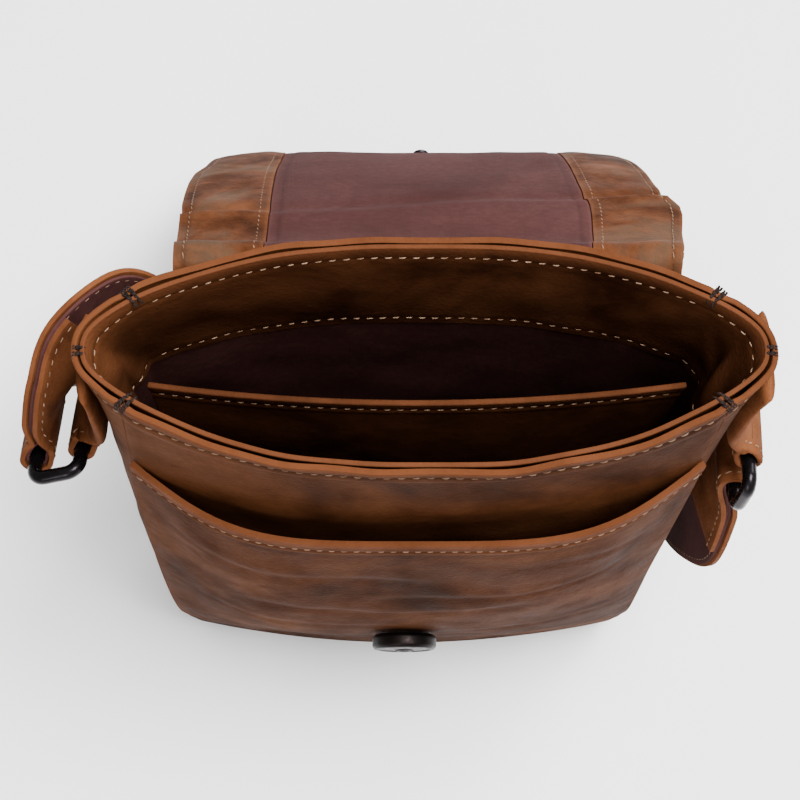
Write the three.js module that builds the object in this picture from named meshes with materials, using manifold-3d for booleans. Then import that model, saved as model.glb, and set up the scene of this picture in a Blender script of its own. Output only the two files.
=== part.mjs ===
// A small leather crossbody bag that stands open, with its flap thrown back behind it.
// Lengths are in millimetres: +X is to the bag's right, -Y is its front and +Z is up.
// The origin lies at the middle of the base, on the surface that the bag stands on.
import * as THREE from "three";
import { mergeVertices } from "three/addons/utils/BufferGeometryUtils.js";
import Module from "manifold-3d";

const wasm = await Module();
wasm.setup();

// Body: height at the mouth, and how far each wall reaches from the middle
const BAG_HEIGHT = 220;
const SEAM_REACH = 72;
const SIDE_REACH = 84;
const FRONT_REACH = 32;
const BACK_REACH = 28.6;
const SEAM_DEPTH = 19;
const BOTTOM_CORNER_RADIUS = 10;
const PLEAT_DEPTH = 5;
const PLEAT_SPREAD = 0.3;
const BODY_LEAN = -3;

// How each wall bows between its seams: a higher power keeps it flat further out towards the seams
const FOOT_BOW_POWER = 2.2;
const MOUTH_BOW_POWER = 2.5;
const GUSSET_BOW_POWER = 1.8;
const POCKET_TOP_BOW_POWER = 4;
const POCKET_TOP_EASE = 0.35;

// Leather and cloth
const LEATHER = 1.5;
const LINING = 1.2;
const CLEARANCE = 0.3;
const LAYER_GAP = 0.5;

// Inside: a leather facing below the mouth, and one dividing panel
const FACING_HEIGHT = 43;
const DIVIDER_HEIGHT = 186;
const DIVIDER_THICKNESS = 1.6;
const DIVIDER_PLACE = 4;
const DIVIDER_BOW = 5;
const DIVIDER_SIDE_SHARE = 0.55;

// Pocket on the front
const POCKET_REACH = 39;
const POCKET_HEM_DROP = 33;
const POCKET_HEM_DIP = 7;

// Flap, measured as it hangs behind the bag
const FLAP_WIDTH = 152;
const FLAP_ROOT_WIDTH = 130;
const FLAP_ROOT_HEIGHT = 176;
const FLAP_REACH = 155;
const FLAP_SHIFT = 5;
const FLAP_DROOP = 5;
const FLAP_CORNER_RADIUS = 20;
const FLAP_FACING_WIDTH = 27;
const FLAP_END_FACING = 34;
const FLAP_INSIDE_START = 0.06;
const FACING_LEATHER = 1.1;
const FLAP_CLOTH = 0.8;

// Snap fastener
const SNAP_DIAMETER = 19;
const SNAP_THICKNESS = 5;
const SNAP_HEIGHT = 83;
const STUD_DIAMETER = 12;
const STUD_FROM_END = 20;

// Rings, tabs and strap
const RING_WIRE = 3.8;
const RING_INNER_LENGTH = 30;
const RING_INNER_WIDTH = 9.2;
const RING_CORNER_RADIUS = 3.5;
const RING_SLACK_SHIFT = 1.2;
const TAB_WIDTH = 23;
const TAB_LEATHER = 1.5;
const TAB_LENGTH = 50;
const TAB_MIDDLE_SHARE = 0.66;
const TAB_SEWN_SHARE = 0.47;
const STRAP_WIDTH = 24;
const STRAP_LEATHER = 1.2;
const STRAP_CLOTH = 0.6;
const STRAP_CLOTH_INSET = 1;
const STRAP_THICKNESS = STRAP_LEATHER + LAYER_GAP + STRAP_CLOTH;
const STRAP_END_LENGTH = 39;
const LEAD_LENGTH = 7;
const FOLD_CLOSES = 12;

// How finely the curved shapes are stepped
const PANEL_STEPS = 14;
const GUSSET_STEPS = 10;
const CORNER_STEPS = 3;
const TURN_STEPS = 6;
const DIVIDER_STEPS = 8;
const FLAP_EXTRA_STOPS = [0.03, 0.14, 0.98];
const STRAP_STEPS = 130;
const TAB_STEPS = 8;
const LATHE_SIDES = 24;
const WIRE_SIDES = 8;

// One row for each level of the body, from the base up. Each value is a share of the named size.
const BODY_LEVELS = tableRows(
  ["up", "seam", "front", "frontSeam", "back", "backSeam", "side", "pleat", "lean"],
  [
    [0.0, 0.99, 0.52, 0.46, 0.62, 0.75, 0.88, 0.0, 0.5],
    [0.045, 1, 0.56, 0.57, 0.66, 0.8, 0.885, 0.05, 0.55],
    [0.1, 1, 0.63, 0.69, 0.74, 0.86, 0.89, 0.1, 0.65],
    [0.2, 1, 0.76, 0.9, 0.82, 0.92, 0.9, 0.3, 0.8],
    [0.3, 1, 0.87, 0.98, 0.88, 0.95, 0.908, 0.5, 0.95],
    [0.45, 1, 0.93, 1, 0.92, 0.95, 0.918, 0.8, 1],
    [0.62, 1, 0.94, 0.99, 0.95, 0.92, 0.925, 1, 0.8],
    [0.8, 1, 0.945, 0.93, 0.98, 0.86, 0.94, 0.95, 0.45],
    [0.93, 0.998, 0.97, 0.85, 1, 0.8, 0.967, 0.45, 0.15],
    [1.0, 0.993, 1, 0.816, 1, 0.774, 1, 0.16, 0],
  ],
);

// One row for each level of the front pocket: how far it stands out, as a share of POCKET_REACH.
const POCKET_LEVELS = [
  { up: 0.0, out: 0.475 },
  { up: 0.06, out: 0.535 },
  { up: 0.1, out: 0.58 },
  { up: 0.18, out: 0.68 },
  { up: 0.27, out: 0.795 },
  { up: 0.36, out: 0.9 },
  { up: 0.48, out: 0.98 },
  { up: 0.62, out: 0.99 },
  { up: 0.85, out: 0.953 },
];

// One row for each bend of the flap, from its seam on the back panel to its free end.
// back runs from the seam to the full reach and wide from the root's width to the full width. up is a
// share of FLAP_ROOT_HEIGHT, shift of FLAP_SHIFT and droop of FLAP_DROOP.
const FLAP_BENDS = [
  { along: 0.0, back: 0, up: 1.0, wide: 0.0, shift: 0.3, droop: 0.0 },
  { along: 0.05, back: 0.0202, up: 1.07, wide: 0.0, shift: 0.3, droop: 0.0 },
  { along: 0.08, back: 0.0472, up: 1.1, wide: 0.0, shift: 0.35, droop: 0.0 },
  { along: 0.11, back: 0.0888, up: 1.085, wide: 0.05, shift: 0.4, droop: 0.0 },
  { along: 0.18, back: 0.1476, up: 0.99, wide: 0.25, shift: 0.5, droop: 0.05 },
  { along: 0.27, back: 0.2186, up: 0.875, wide: 0.55, shift: 0.7, droop: 0.15 },
  { along: 0.36, back: 0.3129, up: 0.762, wide: 0.8, shift: 0.85, droop: 0.3 },
  { along: 0.48, back: 0.4795, up: 0.64, wide: 0.95, shift: 1.0, droop: 0.45 },
  { along: 0.66, back: 0.7097, up: 0.455, wide: 1.0, shift: 1.0, droop: 0.8 },
  { along: 0.84, back: 0.9461, up: 0.225, wide: 1.0, shift: 1.0, droop: 1.0 },
  { along: 0.92, back: 0.9816, up: 0.125, wide: 1.0, shift: 1.0, droop: 0.6 },
  { along: 1.0, back: 0.951, up: 0.0, wide: 1.0, shift: 1.0, droop: 0.0 },
];

// One row for each point of the strap's route from the left ring to the right ring. side is a share
// of SIDE_REACH, back of FLAP_REACH, and up of BAG_HEIGHT above the strap's place when it lies on its
// edge. edgeX, edgeY and edgeZ point across the strap towards its lower edge.
const STRAP_ROUTE = tableRows(
  ["side", "back", "up", "edgeX", "edgeY", "edgeZ"],
  [
    [-1.138, 0.037, 0.727, 0.2, 0.6, -0.74],
    [-1.1, 0.06, 0.769, 0.22, 0.35, -0.88],
    [-1.05, 0.1, 0.8, 0.2, 0.08, -0.97],
    [-0.97, 0.15, 0.803, -0.05, 0.0, -1],
    [-0.905, 0.184, 0.752, -0.55, -0.1, -0.8],
    [-0.85, 0.2, 0.655, -0.93, -0.1, -0.36],
    [-0.81, 0.228, 0.52, -1, 0.0, 0.0],
    [-0.79, 0.3, 0.27, -1, 0.0, 0.0],
    [-0.79, 0.42, 0.09, -0.85, 0.0, -0.5],
    [-0.78, 0.53, 0.02, -0.3, 0.0, -1],
    [-0.74, 0.65, 0.004, 0, 0, -1],
    [-0.64, 0.78, 0, 0, 0, -1],
    [-0.47, 0.78, 0, 0, 0, -1],
    [-0.37, 0.63, 0, 0, 0, -1],
    [-0.32, 0.45, 0, 0, 0, -1],
    [-0.22, 0.31, 0, 0, 0, -1],
    [-0.07, 0.31, 0, 0, 0, -1],
    [0.03, 0.45, 0, 0, 0, -1],
    [0.07, 0.63, 0, 0, 0, -1],
    [0.16, 0.78, 0, 0, 0, -1],
    [0.32, 0.78, 0, 0, 0, -1],
    [0.41, 0.63, 0, 0, 0, -1],
    [0.44, 0.46, 0, 0, 0, -1],
    [0.52, 0.33, 0, 0, 0, -1],
    [0.64, 0.34, 0, 0, 0, -1],
    [0.7, 0.48, 0, 0, 0, -1],
    [0.74, 0.66, 0, 0, 0, -1],
    [0.84, 0.77, 0, 0, 0, -1],
    [0.97, 0.71, 0, 0, 0, -1],
    [1, 0.57, 0, 0, 0, -1],
    [0.98, 0.42, 0.005, 0.0, -0.1, -1],
    [0.98, 0.25, 0.05, 0.0, -0.45, -0.9],
    [0.98, 0.12, 0.145, 0.0, -0.65, -0.76],
    [0.98, 0.02, 0.275, 0.05, -0.85, -0.5],
    [0.99, -0.05, 0.41, 0.18, -0.97, -0.15],
    [1.0, -0.03, 0.54, 0.15, -0.98, 0.0],
  ],
);

// One row for each side: the middle of the bar in the tab's fold, how the ring's long axis points
// towards the front, and the way from the tab's bar to the strap's bar.
const RING_PLACES = {
  left: {
    side: -1.048,
    back: 0.022,
    up: 0.737,
    longAxis: [-0.03, -0.93, 0.36],
    acrossAxis: [-0.94, 0, -0.34],
  },
  right: {
    side: 1.03,
    back: 0.006,
    up: 0.745,
    longAxis: [-0.05, -0.98, 0.15],
    acrossAxis: [-0.12, -0.15, -0.98],
  },
};

// Rows of a table as objects, each value under its column's name.
function tableRows(columns, rows) {
  return rows.map((row) => Object.fromEntries(columns.map((column, index) => [column, row[index]])));
}

// Reads one named column of a table at a place between its rows, along a smooth curve.
function readTable(rows, key, column, place) {
  const last = rows.length - 1;
  let row = 0;
  while (row < last - 1 && place > rows[row + 1][key]) row += 1;
  const from = rows[row];
  const to = rows[row + 1];
  const before = rows[Math.max(row - 1, 0)];
  const after = rows[Math.min(row + 2, last)];
  const span = to[key] - from[key];
  const share = THREE.MathUtils.clamp((place - from[key]) / span, 0, 1);
  const slopeFrom = ((to[column] - before[column]) / (to[key] - before[key])) * span;
  const slopeTo = ((after[column] - from[column]) / (after[key] - from[key])) * span;
  const square = share * share;
  const cube = square * share;
  return (
    (2 * cube - 3 * square + 1) * from[column] +
    (cube - 2 * square + share) * slopeFrom +
    (3 * square - 2 * cube) * to[column] +
    (cube - square) * slopeTo
  );
}

// A closed solid's geometry with its faces turned outwards.
function closedGeometry(points, triangles) {
  const positions = points.flatMap((point) => [point.x, point.y, point.z]);
  let volume = 0;
  for (const [a, b, c] of triangles) {
    volume += points[a].dot(new THREE.Vector3().crossVectors(points[b], points[c]));
  }
  const outward = volume > 0 ? triangles : triangles.map(([a, b, c]) => [a, c, b]);
  const geometry = new THREE.BufferGeometry();
  geometry.setAttribute("position", new THREE.Float32BufferAttribute(positions, 3));
  geometry.setIndex(outward.flat());
  return geometry;
}

// A wall between two grids of points. Its rows are open, or closed into a loop.
function wallGeometry(outerRows, innerRows, closed = false) {
  const rows = outerRows.length;
  const columns = outerRows[0].length;
  const points = [...outerRows.flat(), ...innerRows.flat()];
  const outer = (row, column) => row * columns + (column % columns);
  const inner = (row, column) => rows * columns + outer(row, column);
  const triangles = [];
  const quad = (a, b, c, d) => triangles.push([a, b, c], [a, c, d]);
  const lastColumn = closed ? columns : columns - 1;
  for (let row = 0; row < rows - 1; row += 1) {
    for (let column = 0; column < lastColumn; column += 1) {
      const next = column + 1;
      quad(outer(row, column), outer(row, next), outer(row + 1, next), outer(row + 1, column));
      triangles.push([inner(row, next), inner(row, column), inner(row + 1, next)]);
      triangles.push([inner(row, column), inner(row + 1, column), inner(row + 1, next)]);
    }
    if (!closed) {
      quad(outer(row + 1, 0), inner(row + 1, 0), inner(row, 0), outer(row, 0));
      const above = row + 1;
      quad(outer(row, lastColumn), inner(row, lastColumn), inner(above, lastColumn), outer(above, lastColumn));
    }
  }
  const lastRow = rows - 1;
  for (let column = 0; column < lastColumn; column += 1) {
    const next = column + 1;
    quad(inner(0, column), inner(0, next), outer(0, next), outer(0, column));
    quad(outer(lastRow, column), outer(lastRow, next), inner(lastRow, next), inner(lastRow, column));
  }
  return closedGeometry(points, triangles);
}

// A tube that runs round through a list of sections, each a ring of points, and back to the first.
function loopGeometry(sections) {
  const sides = sections[0].length;
  const point = (step, side) => (step % sections.length) * sides + (side % sides);
  const triangles = [];
  for (let step = 0; step < sections.length; step += 1) {
    for (let side = 0; side < sides; side += 1) {
      triangles.push([point(step, side), point(step, side + 1), point(step + 1, side + 1)]);
      triangles.push([point(step, side), point(step + 1, side + 1), point(step + 1, side)]);
    }
  }
  return closedGeometry(sections.flat(), triangles);
}

// The same closed surface with its shared points merged and no flat or empty faces.
function mergedGeometry(geometry) {
  const bare = geometry.clone();
  bare.deleteAttribute("normal");
  bare.deleteAttribute("uv");
  const merged = mergeVertices(bare, 1e-4);
  const solid = new wasm.Manifold(
    new wasm.Mesh({
      numProp: 3,
      vertProperties: merged.attributes.position.array,
      triVerts: new Uint32Array(merged.index.array),
    }),
  ).getMesh();
  const clean = new THREE.BufferGeometry();
  clean.setAttribute("position", new THREE.BufferAttribute(solid.vertProperties, 3));
  clean.setIndex(new THREE.BufferAttribute(solid.triVerts, 1));
  return clean;
}

const range = (count) => Array.from({ length: count + 1 }, (_, index) => index / count);

// Body surface

// The body's sizes at one level, for a surface that lies inset from the outside of the leather.
function levelSizes(height, inset) {
  const read = (column) => readTable(BODY_LEVELS, "up", column, height / BAG_HEIGHT);
  const radius = BOTTOM_CORNER_RADIUS - inset;
  const rise = BOTTOM_CORNER_RADIUS - height;
  const rounding = rise > 0 ? radius - Math.sqrt(Math.max(radius * radius - rise * rise, 0)) : 0;
  return {
    seam: SEAM_REACH * read("seam") - inset - rounding,
    side: SIDE_REACH * read("side") - inset - rounding,
    front: FRONT_REACH * read("front") - inset,
    frontSeam: SEAM_DEPTH * read("frontSeam") - inset,
    back: BACK_REACH * read("back") - inset,
    backSeam: SEAM_DEPTH * read("backSeam") - inset,
    pleat: PLEAT_DEPTH * read("pleat"),
    lean: BODY_LEAN * read("lean"),
  };
}

// How upright the bag stands at a level: its walls bow evenly at the foot and flatten higher up.
const uprightness = (height) => THREE.MathUtils.smoothstep(height / BAG_HEIGHT, 0.1, 0.7);

const bowPower = (height, top) => THREE.MathUtils.lerp(FOOT_BOW_POWER, top, uprightness(height));

const bodyCrown = (across, height) => 1 - Math.abs(across) ** bowPower(height, MOUTH_BOW_POWER);

// A point of the body on one of its walls. across runs from -1 to 1, from one seam to the other.
function bodyPoint(wall, across, height, inset) {
  const sizes = levelSizes(height, inset);
  const crown = bodyCrown(across, height);
  const lean = sizes.lean;
  if (wall === "front") {
    const depth = sizes.frontSeam + (sizes.front - sizes.frontSeam) * crown;
    return new THREE.Vector3(lean + sizes.seam * across, -depth, height);
  }
  if (wall === "back") {
    const depth = sizes.backSeam + (sizes.back - sizes.backSeam) * crown;
    return new THREE.Vector3(lean - sizes.seam * across, depth, height);
  }
  const bulge = (sizes.side - sizes.seam) * (1 - Math.abs(across) ** GUSSET_BOW_POWER);
  const pleat = sizes.pleat * Math.exp(-((across / PLEAT_SPREAD) ** 2));
  const reach = sizes.seam + bulge - pleat;
  const middle = (sizes.backSeam - sizes.frontSeam) / 2;
  const half = (sizes.backSeam + sizes.frontSeam) / 2;
  return wall === "right"
    ? new THREE.Vector3(lean + reach, middle + half * across, height)
    : new THREE.Vector3(lean - reach, middle - half * across, height);
}

// Heights of the rows of a wall from its foot to its top, closer together round the bottom corner.
function levelHeights(foot, top) {
  const round = range(CORNER_STEPS).map((share) => {
    const angle = (share * Math.PI) / 2;
    return foot + (BOTTOM_CORNER_RADIUS - foot) * (1 - Math.cos(angle));
  });
  const straight = BODY_LEVELS.map((row) => row.up * BAG_HEIGHT).filter((height) => {
    return height > BOTTOM_CORNER_RADIUS * 1.2 && height < top - CLEARANCE;
  });
  return [...round, ...straight, top];
}

// One outer panel of leather, trimmed at both seams by half of the clearance.
function panelGeometry(wall, steps) {
  const grid = (inset) =>
    levelHeights(inset, BAG_HEIGHT).map((height) => {
      const sizes = levelSizes(height, inset);
      const width = wall === "front" || wall === "back" ? sizes.seam : (sizes.frontSeam + sizes.backSeam) / 2;
      const trim = 1 - CLEARANCE / 2 / width;
      return range(steps).map((share) => bodyPoint(wall, (2 * share - 1) * trim, height, inset));
    });
  return wallGeometry(grid(0), grid(LEATHER));
}

// Points round the whole body at one level, front, right, back and left in turn.
function bodyLoop(height, inset) {
  const walls = [
    ["front", PANEL_STEPS],
    ["right", GUSSET_STEPS],
    ["back", PANEL_STEPS],
    ["left", GUSSET_STEPS],
  ];
  return walls.flatMap(([wall, steps]) =>
    range(steps)
      .slice(0, -1)
      .map((share) => bodyPoint(wall, 2 * share - 1, height, inset)),
  );
}

// The base lies between the feet of the front and back panels and of the two side gussets.
function basePanelGeometry() {
  const sizes = levelSizes(0, 0);
  const half = sizes.seam - CLEARANCE;
  const grid = (height) =>
    [-1, 1].map((end) =>
      range(PANEL_STEPS).map((share) => {
        const across = 2 * share - 1;
        const crown = bodyCrown(across, 0);
        const front = -sizes.frontSeam - (sizes.front - sizes.frontSeam) * crown;
        const back = sizes.backSeam + (sizes.back - sizes.backSeam) * crown;
        const edge = LEATHER + CLEARANCE;
        return new THREE.Vector3(sizes.lean + half * across, end < 0 ? front + edge : back - edge, height);
      }),
    );
  return wallGeometry(grid(0), grid(LEATHER));
}

// The leather facing hangs inside the mouth as one loop.
function facingGeometry() {
  const inset = LEATHER + LAYER_GAP;
  const foot = BAG_HEIGHT - FACING_HEIGHT;
  const levels = BODY_LEVELS.map((row) => row.up * BAG_HEIGHT).filter((height) => height > foot + LEATHER);
  const heights = [foot, ...levels];
  return wallGeometry(
    heights.map((height) => bodyLoop(height, inset)),
    heights.map((height) => bodyLoop(height, inset + LINING)),
    true,
  );
}

// The lining is a cup that hangs from the foot of the facing and covers the base.
function liningGeometry() {
  const top = BAG_HEIGHT - FACING_HEIGHT - CLEARANCE;
  const cup = (inset) => levelHeights(inset, top).map((height) => bodyLoop(height, inset));
  const outer = cup(LEATHER + LAYER_GAP);
  const inner = cup(LEATHER + LAYER_GAP + LINING);
  const count = outer[0].length;
  const points = [...outer.flat(), ...inner.flat()];
  const innerStart = outer.length * count;
  const triangles = [];
  const around = (start, row, column) => start + row * count + (column % count);
  for (let row = 0; row < outer.length - 1; row += 1) {
    for (let column = 0; column < count; column += 1) {
      for (const [start, turned] of [[0, false], [innerStart, true]]) {
        const a = around(start, row, column);
        const b = around(start, row, column + 1);
        const c = around(start, row + 1, column + 1);
        const d = around(start, row + 1, column);
        triangles.push(turned ? [a, c, b] : [a, b, c], turned ? [a, d, c] : [a, c, d]);
      }
    }
  }
  const topRow = outer.length - 1;
  for (let column = 0; column < count; column += 1) {
    const a = around(0, topRow, column);
    const b = around(0, topRow, column + 1);
    const c = around(innerStart, topRow, column + 1);
    const d = around(innerStart, topRow, column);
    triangles.push([a, b, c], [a, c, d]);
  }
  // The floor of the cup is closed between the front foot and the back foot.
  const backStart = PANEL_STEPS + GUSSET_STEPS;
  for (const [start, turned] of [[0, true], [innerStart, false]]) {
    const floor = [];
    for (let step = 0; step < PANEL_STEPS; step += 1) {
      const a = start + step;
      const b = start + step + 1;
      const c = start + backStart + PANEL_STEPS - step - 1;
      const d = start + backStart + PANEL_STEPS - step;
      floor.push([a, b, c], [a, c, d]);
    }
    for (let step = 1; step < GUSSET_STEPS; step += 1) {
      floor.push([start + PANEL_STEPS, start + PANEL_STEPS + step, start + PANEL_STEPS + step + 1]);
      const left = backStart + PANEL_STEPS;
      floor.push([start + left, start + left + step, start + ((left + step + 1) % count)]);
    }
    triangles.push(...floor.map(([a, b, c]) => (turned ? [a, c, b] : [a, b, c])));
  }
  return closedGeometry(points, triangles);
}

// The divider spans the bag from side to side and stands on the lining's floor.
function dividerGeometry() {
  const inset = LEATHER + LAYER_GAP + LINING + CLEARANCE;
  const foot = inset;
  const heights = levelHeights(foot, DIVIDER_HEIGHT).filter((_, row, all) => {
    return row < CORNER_STEPS || row % 2 === 0 || row === all.length - 1;
  });
  const grid = (offset) =>
    heights.map((height) => {
      const sizes = levelSizes(height, inset);
      return range(DIVIDER_STEPS).map((share) => {
        const across = 2 * share - 1;
        const place = DIVIDER_PLACE - DIVIDER_BOW * (1 - across * across) * (height / DIVIDER_HEIGHT);
        const half = sizes.seam + (sizes.side - sizes.seam) * DIVIDER_SIDE_SHARE - sizes.pleat;
        return new THREE.Vector3(sizes.lean + half * across, place + offset, height);
      });
    });
  return wallGeometry(grid(-DIVIDER_THICKNESS / 2), grid(DIVIDER_THICKNESS / 2));
}

// Front pocket

const pocketHem = (across) => BAG_HEIGHT - POCKET_HEM_DROP - POCKET_HEM_DIP * (1 - across ** 4);

// A point of the pocket's outer face. Its seams lie on the seams of the front panel.
function pocketPoint(across, height, inset) {
  const sizes = levelSizes(height, 0);
  const seam = sizes.frontSeam + LEATHER + CLEARANCE - inset;
  const reach = POCKET_REACH * readTable(POCKET_LEVELS, "up", "out", height / BAG_HEIGHT) - inset;
  const bow = 1 - Math.abs(across) ** bowPower(height, POCKET_TOP_BOW_POWER);
  const crown = bow ** (1 + POCKET_TOP_EASE * uprightness(height));
  return new THREE.Vector3(sizes.lean + sizes.seam * across, -seam - (reach - seam) * crown, height);
}

function pocketGeometry() {
  const shares = levelHeights(0, BAG_HEIGHT - POCKET_HEM_DROP).map((height, _, all) => height / all.at(-1));
  const grid = (inset) =>
    shares.map((share) =>
      range(PANEL_STEPS).map((step) => {
        const across = 2 * step - 1;
        return pocketPoint(across, pocketHem(across) * share, inset);
      }),
    );
  return wallGeometry(grid(0), grid(LEATHER));
}

// Flap

// A point of the flap's middle layer: across runs from -1 to 1 and along from the seam to the end.
function flapPoint(across, along) {
  const read = (column) => readTable(FLAP_BENDS, "along", column, along);
  const half = (FLAP_ROOT_WIDTH + (FLAP_WIDTH - FLAP_ROOT_WIDTH) * read("wide")) / 2;
  const droop = FLAP_DROOP * read("droop") * Math.abs(across) ** 6;
  const root = levelSizes(FLAP_ROOT_HEIGHT, 0).back + CLEARANCE;
  return new THREE.Vector3(
    half * across + FLAP_SHIFT * read("shift"),
    THREE.MathUtils.lerp(root, FLAP_REACH, read("back")),
    FLAP_ROOT_HEIGHT * read("up") - droop + CLEARANCE,
  );
}

// The flap's surface normal on the side of its lining.
function flapNormal(across, along) {
  const step = 0.004;
  const sideways = flapPoint(across + step, along).sub(flapPoint(across - step, along));
  const ahead = flapPoint(across, Math.min(along + step, 1));
  const onwards = ahead.sub(flapPoint(across, Math.max(along - step, 0)));
  return sideways.cross(onwards).normalize();
}

// How far along the flap its outline ends at each place across, with its two round corners.
function flapEnd(across) {
  const length = flapLength();
  const beside = (FLAP_WIDTH / 2) * (1 - Math.abs(across));
  const inCorner = Math.max(FLAP_CORNER_RADIUS - beside, 0);
  const cut = FLAP_CORNER_RADIUS - Math.sqrt(FLAP_CORNER_RADIUS ** 2 - inCorner ** 2);
  return 1 - cut / length;
}

function flapLength() {
  const line = range(80).map((along) => flapPoint(0, along));
  return line.slice(1).reduce((sum, point, index) => sum + point.distanceTo(line[index]), 0);
}

// The given stops that lie between two ends, in order, with both ends.
function stopsBetween(stops, start, end) {
  const inside = stops.filter((stop) => stop > start && stop < end);
  return [start, ...inside.sort((a, b) => a - b), end];
}

// The places across the flap where every layer has a row of points, closer together at its corners.
function flapAcrosses() {
  const seam = 1 - (2 * FLAP_FACING_WIDTH) / FLAP_WIDTH;
  const oneSide = [seam / 3, seam, (1 + 2 * seam) / 3, (2 + seam) / 3, (5 + seam) / 6, 1];
  return [...oneSide.map((across) => -across), ...oneSide];
}

// A layer of the flap between two sides and two places along, from one offset to another.
function flapLayer(left, right, start, end, low, high) {
  const bends = FLAP_BENDS.map((row) => row.along);
  const alongs = stopsBetween([...bends, ...FLAP_EXTRA_STOPS], start, end);
  const acrosses = stopsBetween(flapAcrosses(), left, right);
  const grid = (offset) =>
    alongs.map((along) =>
      acrosses.map((across) => {
        const place = along * (end === 1 ? flapEnd(across) : 1);
        return flapPoint(across, place).addScaledVector(flapNormal(across, place), offset);
      }),
    );
  return wallGeometry(grid(low), grid(high));
}

// Fastener

// A turned piece about its own axis, set down at a point and pointed along a direction.
function turnedGeometry(profile, place, direction) {
  const points = profile.map(([radius, height]) => new THREE.Vector2(radius, height));
  const geometry = new THREE.LatheGeometry(points, LATHE_SIDES);
  const turn = new THREE.Quaternion().setFromUnitVectors(new THREE.Vector3(0, 1, 0), direction);
  geometry.applyQuaternion(turn);
  geometry.translate(place.x, place.y, place.z);
  return mergedGeometry(geometry);
}

// Rings, tabs and strap

// The two long bars of a ring, worked out from its place: the tab holds one and the strap the other.
function ringFrame(place) {
  const long = new THREE.Vector3(...place.longAxis).normalize();
  const across = new THREE.Vector3(...place.acrossAxis);
  across.addScaledVector(long, -across.dot(long)).normalize();
  const tabBar = new THREE.Vector3(place.side * SIDE_REACH, place.back * FLAP_REACH, place.up * BAG_HEIGHT);
  const strapBar = tabBar.clone().addScaledVector(across, RING_INNER_WIDTH + RING_WIRE);
  return { long, across, tabBar, strapBar };
}

// A ring of round wire: a rectangle with round corners.
function ringGeometry(frame) {
  const radius = RING_WIRE / 2;
  const halfLong = RING_INNER_LENGTH / 2 + radius;
  const halfAcross = RING_INNER_WIDTH / 2 + radius;
  const corner = RING_CORNER_RADIUS;
  const centre = frame.tabBar.clone().addScaledVector(frame.across, halfAcross);
  centre.addScaledVector(frame.long, RING_SLACK_SHIFT);
  const corners = [
    { along: 1, over: 1, startAngle: 0 },
    { along: -1, over: 1, startAngle: 90 },
    { along: -1, over: -1, startAngle: 180 },
    { along: 1, over: -1, startAngle: 270 },
  ];
  const normal = new THREE.Vector3().crossVectors(frame.long, frame.across);
  const sections = corners.flatMap(({ along, over, startAngle }) =>
    range(3).map((share) => {
      const angle = THREE.MathUtils.degToRad(startAngle + 90 * share);
      const outwards = frame.long.clone().multiplyScalar(Math.cos(angle));
      outwards.addScaledVector(frame.across, Math.sin(angle));
      const middle = centre.clone();
      middle.addScaledVector(frame.long, along * (halfLong - corner));
      middle.addScaledVector(frame.across, over * (halfAcross - corner));
      middle.addScaledVector(outwards, corner);
      return wireSection(middle, outwards, normal, radius);
    }),
  );
  return loopGeometry(sections);
}

function wireSection(middle, outwards, normal, radius) {
  return range(WIRE_SIDES)
    .slice(0, -1)
    .map((share) => {
      const angle = 2 * Math.PI * share;
      const point = middle.clone().addScaledVector(outwards, radius * Math.cos(angle));
      return point.addScaledVector(normal, radius * Math.sin(angle));
    });
}

// A smooth run of stations, each with its place, its direction onwards and its direction across.
function runStations(places, acrosses, count) {
  const line = new THREE.CatmullRomCurve3(places, false, "centripetal");
  const turn = new THREE.CatmullRomCurve3(acrosses, false, "centripetal");
  return range(count).map((share) => {
    const place = line.getPoint(share);
    const onwards = line.getTangent(share).normalize();
    const across = turn.getPoint(share);
    across.addScaledVector(onwards, -across.dot(onwards)).normalize();
    const facing = new THREE.Vector3().crossVectors(across, onwards);
    return { place, onwards, across, facing };
  });
}

// A point that leads a band straight away from a bar, square to the bar's length.
function leadPlace(bar, along, target, distance) {
  const way = target.clone().sub(bar);
  way.addScaledVector(along, -way.dot(along)).normalize();
  return bar.clone().addScaledVector(way, distance);
}

// A half turn of a band round a bar, from one side of the run to the other.
function foldSections(station, radius, from, to) {
  return range(TURN_STEPS).map((share) => {
    const angle = (from + (to - from) * share) * Math.PI;
    const out = station.facing.clone().multiplyScalar(Math.cos(angle));
    out.addScaledVector(station.onwards, -Math.sin(angle));
    return { middle: station.place.clone().addScaledVector(out, radius), across: station.across, out };
  });
}

// The band's stretch beside its run, on the side that faces (1) or the side that turns away (-1).
function legSections(stations, side, gapAt) {
  return stations.map((station, index) => {
    const out = station.facing.clone().multiplyScalar(side);
    return { middle: station.place.clone().addScaledVector(out, gapAt(index)), across: station.across, out };
  });
}

// A layer of a band between two offsets from its middle, with a row of points at each stop.
function bandGeometry(sections, width, low, high) {
  const rows = (offset) =>
    sections.map(({ middle, across, out }) =>
      [-1, 1].map((side) => {
        const edge = middle.clone().addScaledVector(across, (side * width) / 2);
        return edge.addScaledVector(out, offset);
      }),
    );
  return wallGeometry(rows(low), rows(high));
}

// Half the space between the two legs of a fold: the bar's room at its own place, then less and
// less, down to leather on leather.
function foldGap(distance, room, thickness) {
  const closed = (thickness + CLEARANCE) / 2;
  return room + (closed - room) * THREE.MathUtils.smoothstep(distance, 0, FOLD_CLOSES);
}

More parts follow.
